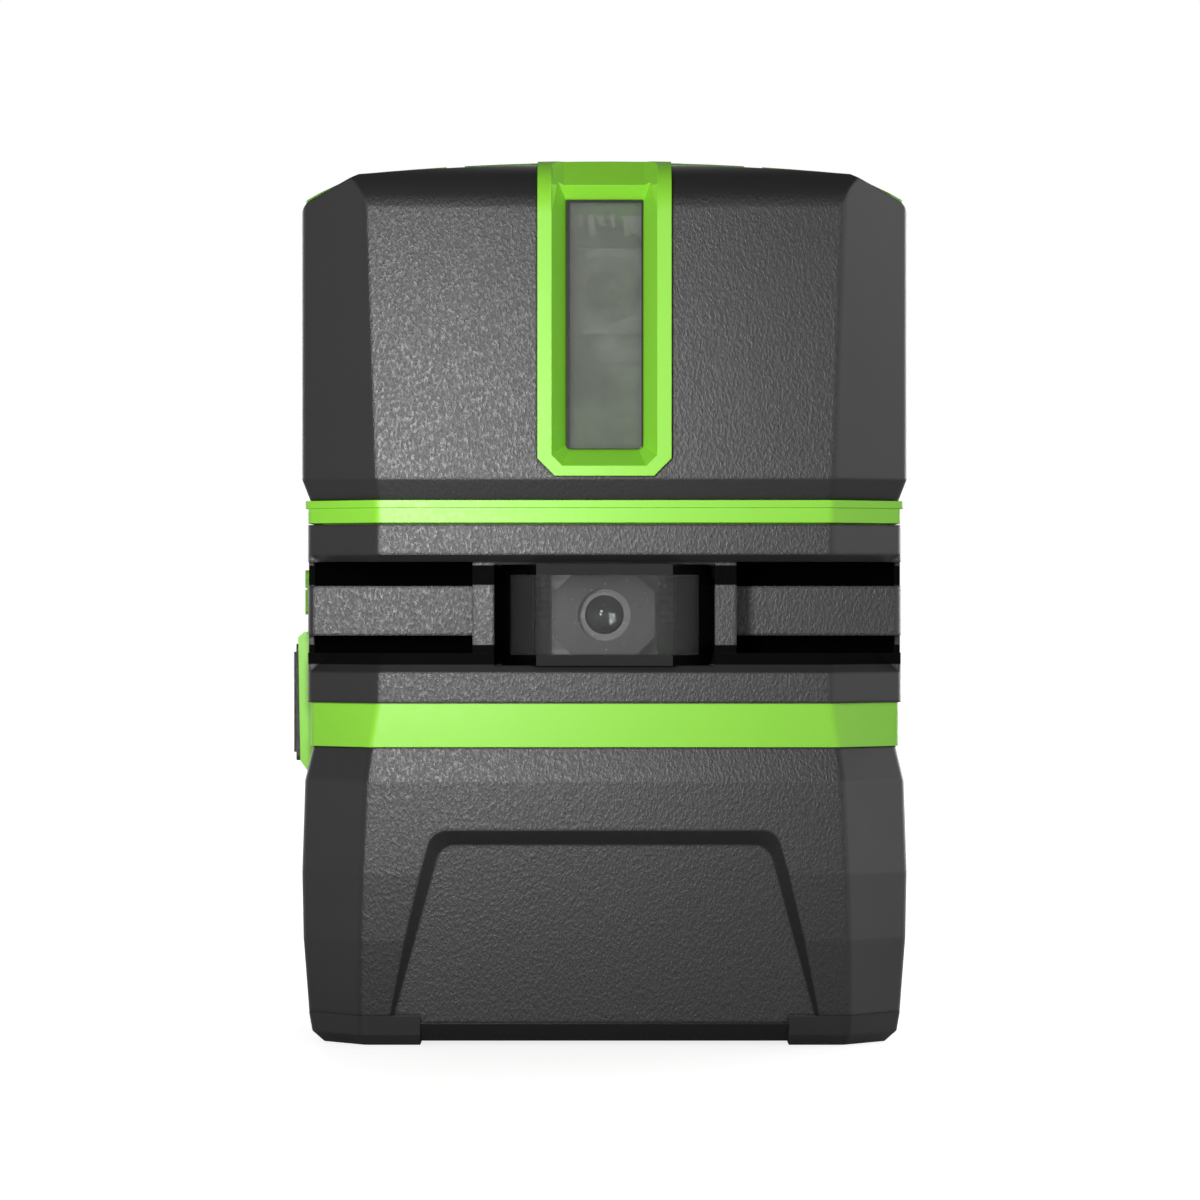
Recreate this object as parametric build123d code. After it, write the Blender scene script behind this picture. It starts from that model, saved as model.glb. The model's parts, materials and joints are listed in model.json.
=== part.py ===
from build123d import *

import math
import os

# Self-levelling cross-line laser level.
# Millimetres. +Z is up, the front (both windows) faces -Y, the lock slider is on -X.
# The origin is on the tripod thread's axis, at the plane that the feet stand on.

# ---- Driving dimensions ---------------------------------------------------------------

# body, in plan: a rectangle with four faceted corners
BODY_HALF_X = 36.7
BODY_HALF_Y = 32.0
FACET_DEPTH = 7.4
FLAT_TOP = 28.9
FLAT_WAIST = 27.6
FLAT_SHOULDER = 28.4
FLAT_FOOT = 29.8
CORNER_ROUND = 1.2

# heights of the body's horizontal edges
BASE_BOTTOM = 0.5
BASE_TOP = 2.7
LOWER_SHOULDER = 31.8
LOWER_BAND_BOTTOM = 35.9
LOWER_BAND_TOP = 41.2
UPPER_BAND_BOTTOM = 62.9
UPPER_BAND_LINE = 64.7
UPPER_BAND_TOP = 65.6
UPPER_COVER_EDGE = 68.2
CROWN_HEIGHT = 106.3
CROWN_RADIUS = 310.0
CROWN_CORNER_X = 29.6
CROWN_CORNER_SLOPE = 0.47
TOP_ROLL_RADIUS = 6.0
TOP_SIDE_ROUND = 2.0

# how far each stretch of the skin lies inside the widest outline
LOWER_BAND_INSET = 1.0
UPPER_BAND_INSET = 0.7
BAND_LIP = 0.3
MIDDLE_INSET = 0.7
SEAM_GAP = 0.2
BASE_INSET = 1.0
FOOT_INSET = 2.6

# walls
COVER_WALL = 2.2
WAIST_COVER_WALL = 4.0
HOUSING_WALL = 2.0
CAVITY_FLOOR = 4.2
TOP_WALL = 6.3
CAVITY_TOP = CROWN_HEIGHT - TOP_WALL
WAIST_SLOPE = 2.0
SEAM_Y = 4.0

# clearances
FIT_GAP = 0.3
TURN_GAP = 0.04
PIN_GAP = 0.05
HINGE_ROOM = 0.6

# slot for the wide horizontal line
SLOT_BOTTOM = 44.8
SLOT_TOP = 59.1
SLOT_LIP = 0.9
SLOT_LIP_DEPTH = 1.0
SLOT_SLOPE = 2.4
SLOT_SLOPE_DEPTH = 1.7
SLOT_FLOOR_DEPTH = 10.0
SLOT_WALL = 1.0
RIB_BOTTOM = 49.3
RIB_TOP = 55.3
RIB_DEPTH = 7.1

# bay window
BAY_FRONT_HALF = 8.2
BAY_BACK_HALF = 13.3
BAY_DEPTH = 6.6
BAY_FLANGE = 1.5
BAY_SEAT = 0.8
BAY_SEAT_WIDTH = 1.6
BAY_FRONT_INSET = 0.5
BAY_BOTTOM = 45.7
BAY_TOP = 57.9
BAY_CORNER = 1.9
BAY_WALL = 1.4

# tall window and its frame
FRAME_HALF = 8.05
FRAME_RIM = 1.7
FRAME_PROUD = 0.6
FRAME_BOTTOM = 68.5
FRAME_CORNER = 2.1
GLASS_HALF = 4.6
GLASS_BOTTOM = 71.8
RECESS_HEAD = 2.8
RECESS_TOP = CROWN_HEIGHT - RECESS_HEAD
RECESS_FRONT_TOP = RECESS_TOP + 2.1
GLASS_HEAD = 1.7
GLASS_TOP = RECESS_TOP - GLASS_HEAD
GLASS_DEPTH = 3.4
GLASS_THICK = 1.4
GLASS_SEAT = 1.2
GASKET_THICK = 0.5
TROUGH_HALF = 4.86
TROUGH_DEPTH = 1.6
TROUGH_WALL_DEPTH = 1.4

# recess on the lower cover's front
PANEL_TOP = 26.3
PANEL_TOP_HALF = 20.9
PANEL_FOOT_HALF = 26.9
PANEL_DEPTH = 1.6
PANEL_SLOPE = 2.2
PANEL_SIDE_SLOPE = 1.2
PANEL_ROUND = 2.3

# green top panel
PANEL_PROUD = 0.3
PANEL_THICK = 1.1
PANEL_HALF_Y = 26.0
PANEL_EDGE_INSET = 0.45
NOTCH_X = 18.0
NOTCH_WIDTH = 2.2
NOTCH_LENGTH = 4.0

# keys on the top
KEY_X = 10.0
KEY_Y = 2.0
KEY_LONG = 13.0
KEY_WIDE = 9.0
KEY_ROUND = 2.0
KEY_HEIGHT = 1.4
KEY_STEM_RADIUS = 1.9
KEY_SYMBOL_HEIGHT = 0.25
BEZEL_HALF_X = 19.0
BEZEL_HALF_Y = 7.0
LIGHT_RADIUS = 1.2

# feet
FOOT_INNER_X = 22.2
FOOT_INNER_Y = 17.0
FOOT_HEIGHT = 3.6

# tripod insert, 1/4 inch thread with a 5.1 mm minor diameter
THREAD_RADIUS = 2.55
INSERT_RADIUS = 5.5
INSERT_TOP = 9.0
THREAD_TOP = 8.0

# lock slider on the left side
SLIDER_CENTRE_Y = -11.0
SLIDER_LONG = 11.0
SLIDER_BOTTOM = 33.9
SLIDER_TOP = 48.2
SLIDER_OUT = 38.2
GUIDE_OUT = 37.25
GUIDE_BOTTOM = 32.7
GUIDE_TOP = 49.7
GUIDE_MARGIN = 2.2
GUIDE_FLOOR = 36.2
LOCK_TRAVEL = 5.0
LOCK_LIFT = 1.75
STEM_BOTTOM = 36.2
STEM_TOP = 39.8
STEM_LONG = 3.0
ARM_THICK = 2.0
ARM_X = -31.6
CAM_BOTTOM = 10.7
CAM_TOP = 17.7
CAM_THICK = 1.6
CAM_PIN_RADIUS = 1.0
CAM_PIN_Z = 14.0
PLUNGER_RADIUS = 2.5
PLUNGER_BOTTOM = 10.2
PAD_RADIUS = 4.2
PAD_THICK = 1.2

# port flap on the left side
FLAP_BOTTOM = 51.8
FLAP_TOP = 57.3
FLAP_FRONT_Y = -9.0
FLAP_BACK_Y = 6.0
FLAP_THICK = 1.1
FLAP_OUT = 37.15
FLAP_PLUG_DEPTH = 1.4
PORT_HALF_Y = 4.5
PORT_HALF_Z = 1.65

# pendulum and gimbal
PIVOT_Y = 2.0
PIVOT_Z = 86.0
FOOT_RADIUS = 56.0
FOOT_DISC_RADIUS = 8.0
FOOT_DISC_TOP = 34.0
PIN_RADIUS = 1.5
BEARING_RADIUS = 3.0
BEARING_WIDTH = 2.5
RING_INNER_X = 8.5
RING_INNER_Y = 9.5
RING_BAR = 3.0
RING_HALF_Z = 3.0
HEAD_HALF_X = 6.0
HEAD_HALF_Y = 7.0
HEAD_HALF_Z = 5.0
STEM_HALF_X = 5.0
STEM_THICK = 6.0
UPPER_LASER_Z = 91.3
UPPER_LASER_RADIUS = 4.0
LOWER_LASER_Z = 51.8
LOWER_LASER_RADIUS = 4.5
UPPER_LASER_FRONT_Y = -22.5
LOWER_LASER_FRONT_Y = -18.7
UPPER_LASER_BACK_Y = -12.0
LOWER_LASER_BACK_Y = -6.0
LENS_HOLDER_HALF_X = 6.2
LENS_HOLDER_HALF_Z = 5.1
LENS_HOLDER_THICK = 1.6
LENS_RADIUS = 2.4
STEM_BACK_PLATE = 6.0
WEIGHT_HALF_X = 9.0
WEIGHT_THICK = 11.0
WEIGHT_PLATE_THICK = 5.0
WEIGHT_BOTTOM = 34.5
WEIGHT_STEP = 41.35
WEIGHT_TOP = 62.0
TRIM_SCREW_X = 3.6
TRIM_SCREW_Z = 54.0
TRIM_SCREW_RADIUS = 1.0

# pendulum frame
FRAME_FLOOR = 21.4
FRAME_FLOOR_THICK = 3.0
UPRIGHT_X = 13.7
UPRIGHT_THICK = 4.0
UPRIGHT_HALF_Y = 6.0
UPRIGHT_TOP = 93.0
LEG_RADIUS = 3.0
LEG_X = 17.0
LEG_FRONT_Y = -17.0
LEG_BACK_Y = 11.0
YOKE_RADIUS = 12.0
YOKE_THICK = 2.0
MAGNET_RADIUS = 2.4
MAGNET_HEIGHT = 2.8
MAGNET_CIRCLE = 8.0

# battery door and battery
DOOR_HALF_X = 24.0
DOOR_BOTTOM = 7.4
DOOR_TOP = 30.6
DOOR_PIN_RADIUS = 0.5
DOOR_PIN_INSET = 1.4
DOOR_PIN_Y = BODY_HALF_Y - DOOR_PIN_INSET
DOOR_PIN_Z = 8.4
KNUCKLE_RADIUS = 1.0
KNUCKLE_INNER_X = 19.0
KNUCKLE_OUTER_X = 22.5
BATTERY_HALF_X = 20.0
BATTERY_ROOM = 15.0
BATTERY_FRONT_Y = BODY_HALF_Y - BATTERY_ROOM
BATTERY_THICK = 11.0
BATTERY_BOTTOM = 10.0
BATTERY_TOP = 28.0

# boards
BOARD_ROOM = 11.0
BOARD_Y = BODY_HALF_Y - BOARD_ROOM
BOARD_THICK = 1.6
BOARD_HALF_X = 21.0
BOARD_BOTTOM = 50.0
BOARD_TOP = 97.0
KEY_BOARD_DROP = 1.8
KEY_BOARD_Z = CAVITY_TOP - KEY_BOARD_DROP
KEY_BOARD_THICK = 1.2

# screws
SCREW_RADIUS = 1.5
SCREW_HEAD_RADIUS = 2.8
SCREW_HEAD_HEIGHT = 1.8
HOUSING_SCREW_X = 25.0
HOUSING_SCREW_HEIGHTS = (38.5, 73.0, 94.0)
HOUSING_SCREW_TIP = -8.0
BOSS_RADIUS = 3.2


# ---- Shared shapes --------------------------------------------------------------------


def block(x0, x1, y0, y1, z0, z1):
    """A box from its lowest to its highest corner."""
    size = Box(x1 - x0, y1 - y0, z1 - z0)
    return Pos((x0 + x1) / 2, (y0 + y1) / 2, (z0 + z1) / 2) * size


def rod_x(x0, x1, y, z, radius):
    """A round bar along X."""
    return Pos((x0 + x1) / 2, y, z) * Rot(0, 90, 0) * Cylinder(radius, x1 - x0)


def rod_y(y0, y1, x, z, radius):
    """A round bar along Y."""
    return Pos(x, (y0 + y1) / 2, z) * Rot(90, 0, 0) * Cylinder(radius, y1 - y0)


def rod_z(z0, z1, x, y, radius):
    """A round bar along Z."""
    return Pos(x, y, (z0 + z1) / 2) * Cylinder(radius, z1 - z0)


def group(solids):
    """Several separate pieces in one node."""
    return Compound(children=list(solids))


def flat_at(z):
    """Half width of the front's flat middle part, between the corner facets, at a height."""
    if z < LOWER_BAND_TOP:
        share = (z - BASE_TOP) / (LOWER_BAND_TOP - BASE_TOP)
        return FLAT_FOOT + (FLAT_SHOULDER - FLAT_FOOT) * max(0, share)
    if z < UPPER_COVER_EDGE:
        return FLAT_WAIST
    share = (z - UPPER_COVER_EDGE) / (CROWN_HEIGHT - UPPER_COVER_EDGE)
    return FLAT_WAIST + (FLAT_TOP - FLAT_WAIST) * share


def outline(z, inset, rounding=CORNER_ROUND):
    """The body's plan at a height: eight sides, a given distance inside the widest outline."""
    half_x = BODY_HALF_X - inset
    half_y = BODY_HALF_Y - inset
    flat = flat_at(z) - 0.4 * inset
    side = BODY_HALF_Y - FACET_DEPTH - 0.4 * inset
    corners = [(flat, -half_y), (half_x, -side), (half_x, side), (flat, half_y)]
    mirrored = [(-x, -y) for x, y in corners]
    face = make_face(Polyline(*corners, *mirrored, close=True))
    return Pos(0, 0, z) * fillet(face.vertices(), rounding)


def skin(levels):
    """A solid through (height, inset) levels of the body's outline, flat between levels."""
    return loft([outline(z, inset) for z, inset in levels], ruled=True)


def crown_height(x, inset):
    """Height of the crowned top at a distance from the middle, a given depth below it."""
    drop = CROWN_RADIUS - math.sqrt(CROWN_RADIUS**2 - min(abs(x), CROWN_CORNER_X) ** 2)
    beyond = max(0, abs(x) - CROWN_CORNER_X)
    return CROWN_HEIGHT - inset - drop - beyond * CROWN_CORNER_SLOPE


def crown(inset, reach_y=BODY_HALF_Y + 5):
    """Everything under the crowned top with its sloping shoulders."""
    corner = crown_height(CROWN_CORNER_X, inset)
    edge_x = BODY_HALF_X - inset + 0.02
    edge = crown_height(edge_x, inset)
    arc = ThreePointArc(
        (-CROWN_CORNER_X, corner), (0, CROWN_HEIGHT - inset), (CROWN_CORNER_X, corner)
    )
    rest = Polyline(
        (CROWN_CORNER_X, corner), (edge_x, edge), (edge_x, 0), (-edge_x, 0),
        (-edge_x, edge), (-CROWN_CORNER_X, corner),
    )
    face = make_face(arc + rest)
    ends = [v for v in face.vertices() if abs(abs(v.X) - edge_x) < 0.001 and v.Y > 1]
    face = fillet(ends, TOP_SIDE_ROUND)
    return extrude(Plane.XZ * face, reach_y, both=True)


def roll(inset, reach_x=BODY_HALF_X + 5):
    """Everything under the top's rounded front and back edges."""
    half_y = BODY_HALF_Y - inset + 0.02
    top = CROWN_HEIGHT - inset
    face = make_face(
        Polyline((-half_y, 0), (half_y, 0), (half_y, top), (-half_y, top), close=True)
    )
    ends = [v for v in face.vertices() if v.Y > 1]
    face = fillet(ends, TOP_ROLL_RADIUS - inset)
    return extrude(Plane.YZ * face, reach_x, both=True)


# ---- Housing and covers ---------------------------------------------------------------


def housing_core():
    """The housing's outside under the covers, with its narrower waist."""
    levels = [
        (CAVITY_FLOOR, COVER_WALL),
        (LOWER_BAND_TOP, COVER_WALL),
        (LOWER_BAND_TOP + WAIST_SLOPE, WAIST_COVER_WALL),
        (UPPER_BAND_BOTTOM - WAIST_SLOPE, WAIST_COVER_WALL),
        (UPPER_BAND_BOTTOM, COVER_WALL),
        (CROWN_HEIGHT, COVER_WALL),
    ]
    return (skin(levels) & crown(COVER_WALL) & roll(COVER_WALL)) - slot_pockets(0)


def slot_pockets(grow):
    """Where the housing steps back behind the slot, on both sides of the bay window, grown outwards."""
    floor = -BODY_HALF_Y + SLOT_FLOOR_DEPTH + SLOT_WALL + grow
    inner = BAY_BACK_HALF + BAY_SEAT_WIDTH - grow
    bottom = SLOT_BOTTOM - SLOT_WALL - grow
    top = SLOT_TOP + SLOT_WALL + grow
    pockets = block(inner, BODY_HALF_X + 2, -BODY_HALF_Y - 2, floor, bottom, top)
    pockets += block(-BODY_HALF_X - 2, -inner, -BODY_HALF_Y - 2, floor, bottom, top)
    seat = bay_back_y() - BAY_SEAT
    return pockets + block(-inner - 1, inner + 1, -BODY_HALF_Y - 2, seat + grow, bottom, top)


def housing_cavity():
    """The hollow inside both housing halves."""
    deep = COVER_WALL + HOUSING_WALL
    waist = WAIST_COVER_WALL + HOUSING_WALL
    levels = [
        (CAVITY_FLOOR - 1, deep),
        (LOWER_BAND_TOP, deep),
        (LOWER_BAND_TOP + WAIST_SLOPE, waist),
        (UPPER_BAND_BOTTOM - WAIST_SLOPE, waist),
        (UPPER_BAND_BOTTOM, deep),
        (CAVITY_TOP, deep),
    ]
    return skin(levels) - slot_pockets(HOUSING_WALL - 0.5)


def bands():
    """The two green bands that stand out between the covers."""
    lip_inset = UPPER_BAND_INSET - BAND_LIP
    lower = skin([(LOWER_BAND_BOTTOM, LOWER_BAND_INSET), (LOWER_BAND_TOP, LOWER_BAND_INSET)])
    upper = skin([(UPPER_BAND_BOTTOM, UPPER_BAND_INSET), (UPPER_BAND_LINE, UPPER_BAND_INSET)])
    lip = skin([(UPPER_BAND_LINE, lip_inset), (UPPER_BAND_TOP, lip_inset)])
    return lower + upper + lip


def door_relief():
    """Room for the battery door's turning lower edge."""
    half = DOOR_HALF_X + FIT_GAP
    return rod_x(-half, half, DOOR_PIN_Y, DOOR_PIN_Z, KNUCKLE_RADIUS + HINGE_ROOM)


def frame_opening():
    """The hole through the upper cover and the housing for the tall window's frame."""
    top = CROWN_HEIGHT + 5
    return block(-FRAME_HALF, FRAME_HALF, -BODY_HALF_Y - 5, -PANEL_HALF_Y, FRAME_BOTTOM, top)


def frame_outline_cut():
    """The frame opening with its two cut lower corners."""
    cut = frame_opening()
    for side in (-1, 1):
        corner = Polyline(
            (side * FRAME_HALF, FRAME_BOTTOM),
            (side * (FRAME_HALF - FRAME_CORNER), FRAME_BOTTOM),
            (side * FRAME_HALF, FRAME_BOTTOM + FRAME_CORNER),
            close=True,
        )
        cut -= extrude(Plane.XZ * make_face(corner), BODY_HALF_Y + 10, both=True)
    return cut


def bay_back_y():
    """Where the bay window's flange ends."""
    return -BODY_HALF_Y + BAY_FRONT_INSET + BAY_DEPTH + BAY_FLANGE


def bay_plan(grow):
    """The bay window's plan, grown outwards."""
    front = -BODY_HALF_Y + BAY_FRONT_INSET - grow
    back = bay_back_y() - BAY_FLANGE
    half = BAY_BACK_HALF + grow
    points = [
        (-BAY_FRONT_HALF - 0.4 * grow, front),
        (BAY_FRONT_HALF + 0.4 * grow, front),
        (half, back),
        (half, back + BAY_FLANGE),
        (-half, back + BAY_FLANGE),
        (-half, back),
    ]
    return make_face(Polyline(*points, close=True))


def bay_block(grow):
    """The bay window's outer shape, with its cut outer corners, grown outwards."""
    body = extrude(Pos(0, 0, BAY_BOTTOM - grow) * bay_plan(grow), BAY_TOP - BAY_BOTTOM + 2 * grow)
    half = BAY_BACK_HALF + grow
    for side in (-1, 1):
        for edge, way in ((BAY_BOTTOM - grow, 1), (BAY_TOP + grow, -1)):
            corner = Polyline(
                (side * half, edge),
                (side * (half - BAY_CORNER / 2), edge),
                (side * half, edge + way * BAY_CORNER),
                close=True,
            )
            body -= extrude(Plane.XZ * make_face(corner), BODY_HALF_Y + 10, both=True)
    return body


def bay_room():
    """Open space in front of the bay window's slanting sides."""
    back = bay_back_y() - BAY_FLANGE
    return block(-BAY_BACK_HALF, BAY_BACK_HALF, -BODY_HALF_Y - 3, back, BAY_BOTTOM, BAY_TOP)


def bay_light_room():
    """The opening behind the bay window, wide enough for the swinging lens holder."""
    flange_rest = 1.5
    body = block(
        -BAY_BACK_HALF + flange_rest, BAY_BACK_HALF - flange_rest, -BODY_HALF_Y, bay_back_y() + 6,
        BAY_BOTTOM + 1, BAY_TOP - 1,
    )
    half = LENS_HOLDER_HALF_X + 3
    low = LOWER_LASER_Z - LENS_HOLDER_HALF_Z - 3
    high = LOWER_LASER_Z + LENS_HOLDER_HALF_Z + 3
    return body + block(-half, half, bay_back_y() + BAY_SEAT, bay_back_y() + 6, low, high)


def screw_bosses():
    """Pillars that join both housing halves."""
    wall = BODY_HALF_Y - COVER_WALL - HOUSING_WALL / 2
    pillars = [rod_y(-wall, wall, x, z, BOSS_RADIUS) for x, z in housing_screw_places()]
    return group(pillars)


def housing_screw_places():
    return [(side * HOUSING_SCREW_X, z) for side in (-1, 1) for z in HOUSING_SCREW_HEIGHTS]


def housing_screw_holes():
    """Screw holes through the housing and the covers, from the back."""
    head_y = BODY_HALF_Y - COVER_WALL - SCREW_HEAD_HEIGHT
    holes = []
    for x, z in housing_screw_places():
        holes.append(rod_y(HOUSING_SCREW_TIP, head_y, x, z, SCREW_RADIUS))
        holes.append(rod_y(head_y, BODY_HALF_Y + 2, x, z, SCREW_HEAD_RADIUS + 0.3))
    return group(holes)


def housing_screws():
    """Six screws from the back that hold the housing halves together."""
    seat = BODY_HALF_Y - COVER_WALL - SCREW_HEAD_HEIGHT
    end = seat + SCREW_HEAD_HEIGHT
    screws = []
    for x, z in housing_screw_places():
        screw = rod_y(HOUSING_SCREW_TIP, seat, x, z, SCREW_RADIUS)
        screw += rod_y(seat, end, x, z, SCREW_HEAD_RADIUS)
        screw -= block(x - 1.6, x + 1.6, end - 0.9, end + 1, z - 0.35, z + 0.35)
        screws.append(screw - block(x - 0.35, x + 0.35, end - 0.9, end + 1, z - 1.6, z + 1.6))
    return group(screws)


def key_plan(x, grow):
    """A key's rounded plan, grown outwards."""
    face = RectangleRounded(KEY_LONG + 2 * grow, KEY_WIDE + 2 * grow, KEY_ROUND + grow)
    return Pos(x, KEY_Y, 0) * face


def key_shafts(grow, bottom, top):
    """Upright holes for both keys."""
    holes = [extrude(Pos(0, 0, bottom) * key_plan(x, grow), top - bottom) for x in (-KEY_X, KEY_X)]
    return holes[0] + holes[1]


def slider_slot():
    """The slot that the lock slider's stem runs in."""
    front = SLIDER_CENTRE_Y - STEM_LONG / 2 - FIT_GAP
    back = SLIDER_CENTRE_Y + STEM_LONG / 2 + LOCK_TRAVEL + FIT_GAP
    return block(-BODY_HALF_X - 3, ARM_X + 1, front, back, STEM_BOTTOM - FIT_GAP, STEM_TOP + FIT_GAP)


def guide_block(grow):
    """The slider guide's outer block on the body's side."""
    front = SLIDER_CENTRE_Y - SLIDER_LONG / 2 - GUIDE_MARGIN - grow
    back = SLIDER_CENTRE_Y + SLIDER_LONG / 2 + LOCK_TRAVEL + GUIDE_MARGIN + grow
    inner = -BODY_HALF_X + COVER_WALL
    face = make_face(
        Polyline(
            (inner, GUIDE_BOTTOM - grow),
            (-GUIDE_OUT + 0.9, GUIDE_BOTTOM - grow),
            (-GUIDE_OUT, GUIDE_BOTTOM + 1.3),
            (-GUIDE_OUT - 0.25, GUIDE_TOP - 0.7),
            (-GUIDE_OUT + 0.5, GUIDE_TOP + grow),
            (inner, GUIDE_TOP + grow),
            close=True,
        )
    )
    middle = (front + back) / 2
    return Pos(0, middle, 0) * extrude(Plane.XZ * face, (back - front) / 2, both=True)


def port_plan(grow):
    """The charging port's mouth, cut through the side."""
    long = 2 * PORT_HALF_Y + 2 * grow
    high = 2 * PORT_HALF_Z + 2 * grow
    face = RectangleRounded(long, high, PORT_HALF_Z - 0.1)
    return Plane.YZ * (Pos(port_middle_y(), flap_middle_z()) * face)


def port_hole(grow, x0, x1):
    """A stretch of the charging port's hole."""
    face = port_plan(grow)
    return Pos((x0 + x1) / 2, 0, 0) * extrude(face, abs(x1 - x0) / 2, both=True)


def flap_seat(grow):
    """The shallow seat that the port flap closes into."""
    return block(
        -FLAP_OUT - 3, -FLAP_OUT + FLAP_THICK, FLAP_FRONT_Y - grow, FLAP_BACK_Y + grow,
        FLAP_BOTTOM - grow, FLAP_TOP + grow,
    )


def housing():
    """Both housing halves before they are parted."""
    shell = housing_core() + bands()
    shell -= housing_cavity()
    for pillar in screw_bosses().solids():
        shell += pillar
    for hole in housing_screw_holes().solids():
        shell -= hole
    shell -= frame_outline_cut()
    shell -= block(-GLASS_HALF - 2, GLASS_HALF + 2, -BODY_HALF_Y, -20, GLASS_BOTTOM - 2, GLASS_TOP)
    shell -= bay_block(0)
    shell -= bay_room()
    shell -= bay_light_room()
    shell -= slider_slot()
    shell -= port_hole(FIT_GAP, -BODY_HALF_X - 2, -BODY_HALF_X + 12)
    shell -= door_relief()
    shell -= block(
        -BATTERY_HALF_X - 1, BATTERY_HALF_X + 1, 20, BODY_HALF_Y, BATTERY_BOTTOM - 0.8, BATTERY_TOP + 0.8
    )
    for x in (-KEY_X, KEY_X):
        shell -= rod_z(CAVITY_TOP - 2, CROWN_HEIGHT + 2, x, KEY_Y, KEY_STEM_RADIUS + FIT_GAP + 0.2)
        shell -= block(x - 3.6, x + 3.6, KEY_Y - 3.6, KEY_Y + 3.6, CAVITY_TOP - 2, CAVITY_TOP + 1.4)
    shell -= rod_z(CAVITY_TOP - 2, CROWN_HEIGHT + 2, 0, KEY_Y, LIGHT_RADIUS)
    return shell


def front_half():
    return block(-60, 60, -60, SEAM_Y, -5, 120)


def back_half():
    return block(-60, 60, SEAM_Y, 60, -5, 120)


def upper_cover():
    """Grained upper cover with the frame, panel and key openings."""
    levels = [
        (UPPER_BAND_TOP, UPPER_BAND_INSET + 0.3),
        (UPPER_COVER_EDGE, 0.0),
        (CROWN_HEIGHT + 1, 0.0),
    ]
    body = skin(levels) & crown(0) & roll(0)
    body -= housing_core()
    body -= frame_outline_cut()
    body -= top_panel_blank(0)
    body -= key_shafts(FIT_GAP, CAVITY_TOP, CROWN_HEIGHT + 2)
    for hole in housing_screw_holes().solids():
        body -= hole
    body -= rod_z(CAVITY_TOP, CROWN_HEIGHT + 2, 0, KEY_Y, LIGHT_RADIUS)
    return body


def slot_cutter():
    """The horizontal slot across the front and its corners, less the rib that stands in it."""
    face = MIDDLE_INSET
    slope_end = face + SLOT_SLOPE_DEPTH
    lips = skin(
        [
            (SLOT_BOTTOM - 0.01, face),
            (SLOT_BOTTOM + SLOT_SLOPE, slope_end),
            (SLOT_TOP - SLOT_LIP, slope_end),
            (SLOT_TOP - SLOT_LIP + 0.01, face + SLOT_LIP_DEPTH),
            (SLOT_TOP + 0.01, face),
        ]
    )
    floor = -BODY_HALF_Y + SLOT_FLOOR_DEPTH
    rib_face = -BODY_HALF_Y + RIB_DEPTH
    reach = block(-50, 50, -50, rib_face + 0.5, SLOT_BOTTOM, SLOT_TOP)
    collar = BAY_BACK_HALF + BAY_SEAT_WIDTH + SLOT_WALL
    deep = block(collar, 50, -50, floor, SLOT_BOTTOM + SLOT_SLOPE, SLOT_TOP - SLOT_LIP)
    deep += block(-50, -collar, -50, floor, SLOT_BOTTOM + SLOT_SLOPE, SLOT_TOP - SLOT_LIP)
    rib = block(-50, 50, rib_face, 0, RIB_BOTTOM, RIB_TOP)
    return (reach - lips - rib) + (deep - rib)


def middle_cover():
    """Grained middle cover between the bands, with the slot and the bay window's opening."""
    body = skin([(LOWER_BAND_TOP, MIDDLE_INSET), (UPPER_BAND_BOTTOM - SEAM_GAP, MIDDLE_INSET)])
    body -= housing_core()
    body -= slot_cutter()
    body -= bay_block(0)
    body -= bay_room()
    body -= guide_block(0)
    body -= slider_slot()
    body -= flap_seat(FIT_GAP)
    body -= port_hole(FIT_GAP, -BODY_HALF_X - 2, -BODY_HALF_X + 12)
    return body


def panel_face(half_top, half_foot, top, y):
    """One outline of the front recess, open at the foot, on a plane at y."""
    foot = BASE_TOP - 4
    face = make_face(
        Polyline((-half_foot, foot), (-half_top, top), (half_top, top), (half_foot, foot), close=True)
    )
    ends = [v for v in face.vertices() if v.Y > top - 0.01]
    return Plane(origin=(0, y, 0), x_dir=(1, 0, 0), z_dir=(0, -1, 0)) * fillet(ends, PANEL_ROUND)


def lower_cover():
    """Grained lower cover with the front recess and the battery door's opening."""
    levels = [
        (BASE_TOP, BASE_INSET - 0.1),
        (LOWER_SHOULDER * 0.4, 0.15),
        (LOWER_SHOULDER * 0.65, 0.0),
        (LOWER_SHOULDER, 0.35),
        (LOWER_BAND_BOTTOM, 1.3),
    ]
    body = skin(levels)
    body -= housing_core()
    body -= skin([(BASE_TOP, COVER_WALL), (CAVITY_FLOOR, COVER_WALL)])
    outer = panel_face(PANEL_TOP_HALF, PANEL_FOOT_HALF + 0.9, PANEL_TOP, -BODY_HALF_Y - 0.1)
    inner = panel_face(
        PANEL_TOP_HALF - PANEL_SIDE_SLOPE, PANEL_FOOT_HALF - PANEL_SIDE_SLOPE + 0.9,
        PANEL_TOP - PANEL_SLOPE, -BODY_HALF_Y + PANEL_DEPTH,
    )
    body -= loft([outer, inner], ruled=True)
    body -= foot_corners()
    body -= guide_block(0)
    body -= slider_slot()
    body -= block(
        -DOOR_HALF_X - FIT_GAP, DOOR_HALF_X + FIT_GAP, 20, 50,
        DOOR_PIN_Z - KNUCKLE_RADIUS - HINGE_ROOM, DOOR_TOP + FIT_GAP,
    )
    body -= rod_x(-DOOR_HALF_X - 2, DOOR_HALF_X + 2, DOOR_PIN_Y, DOOR_PIN_Z, DOOR_PIN_RADIUS)
    return body


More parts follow.
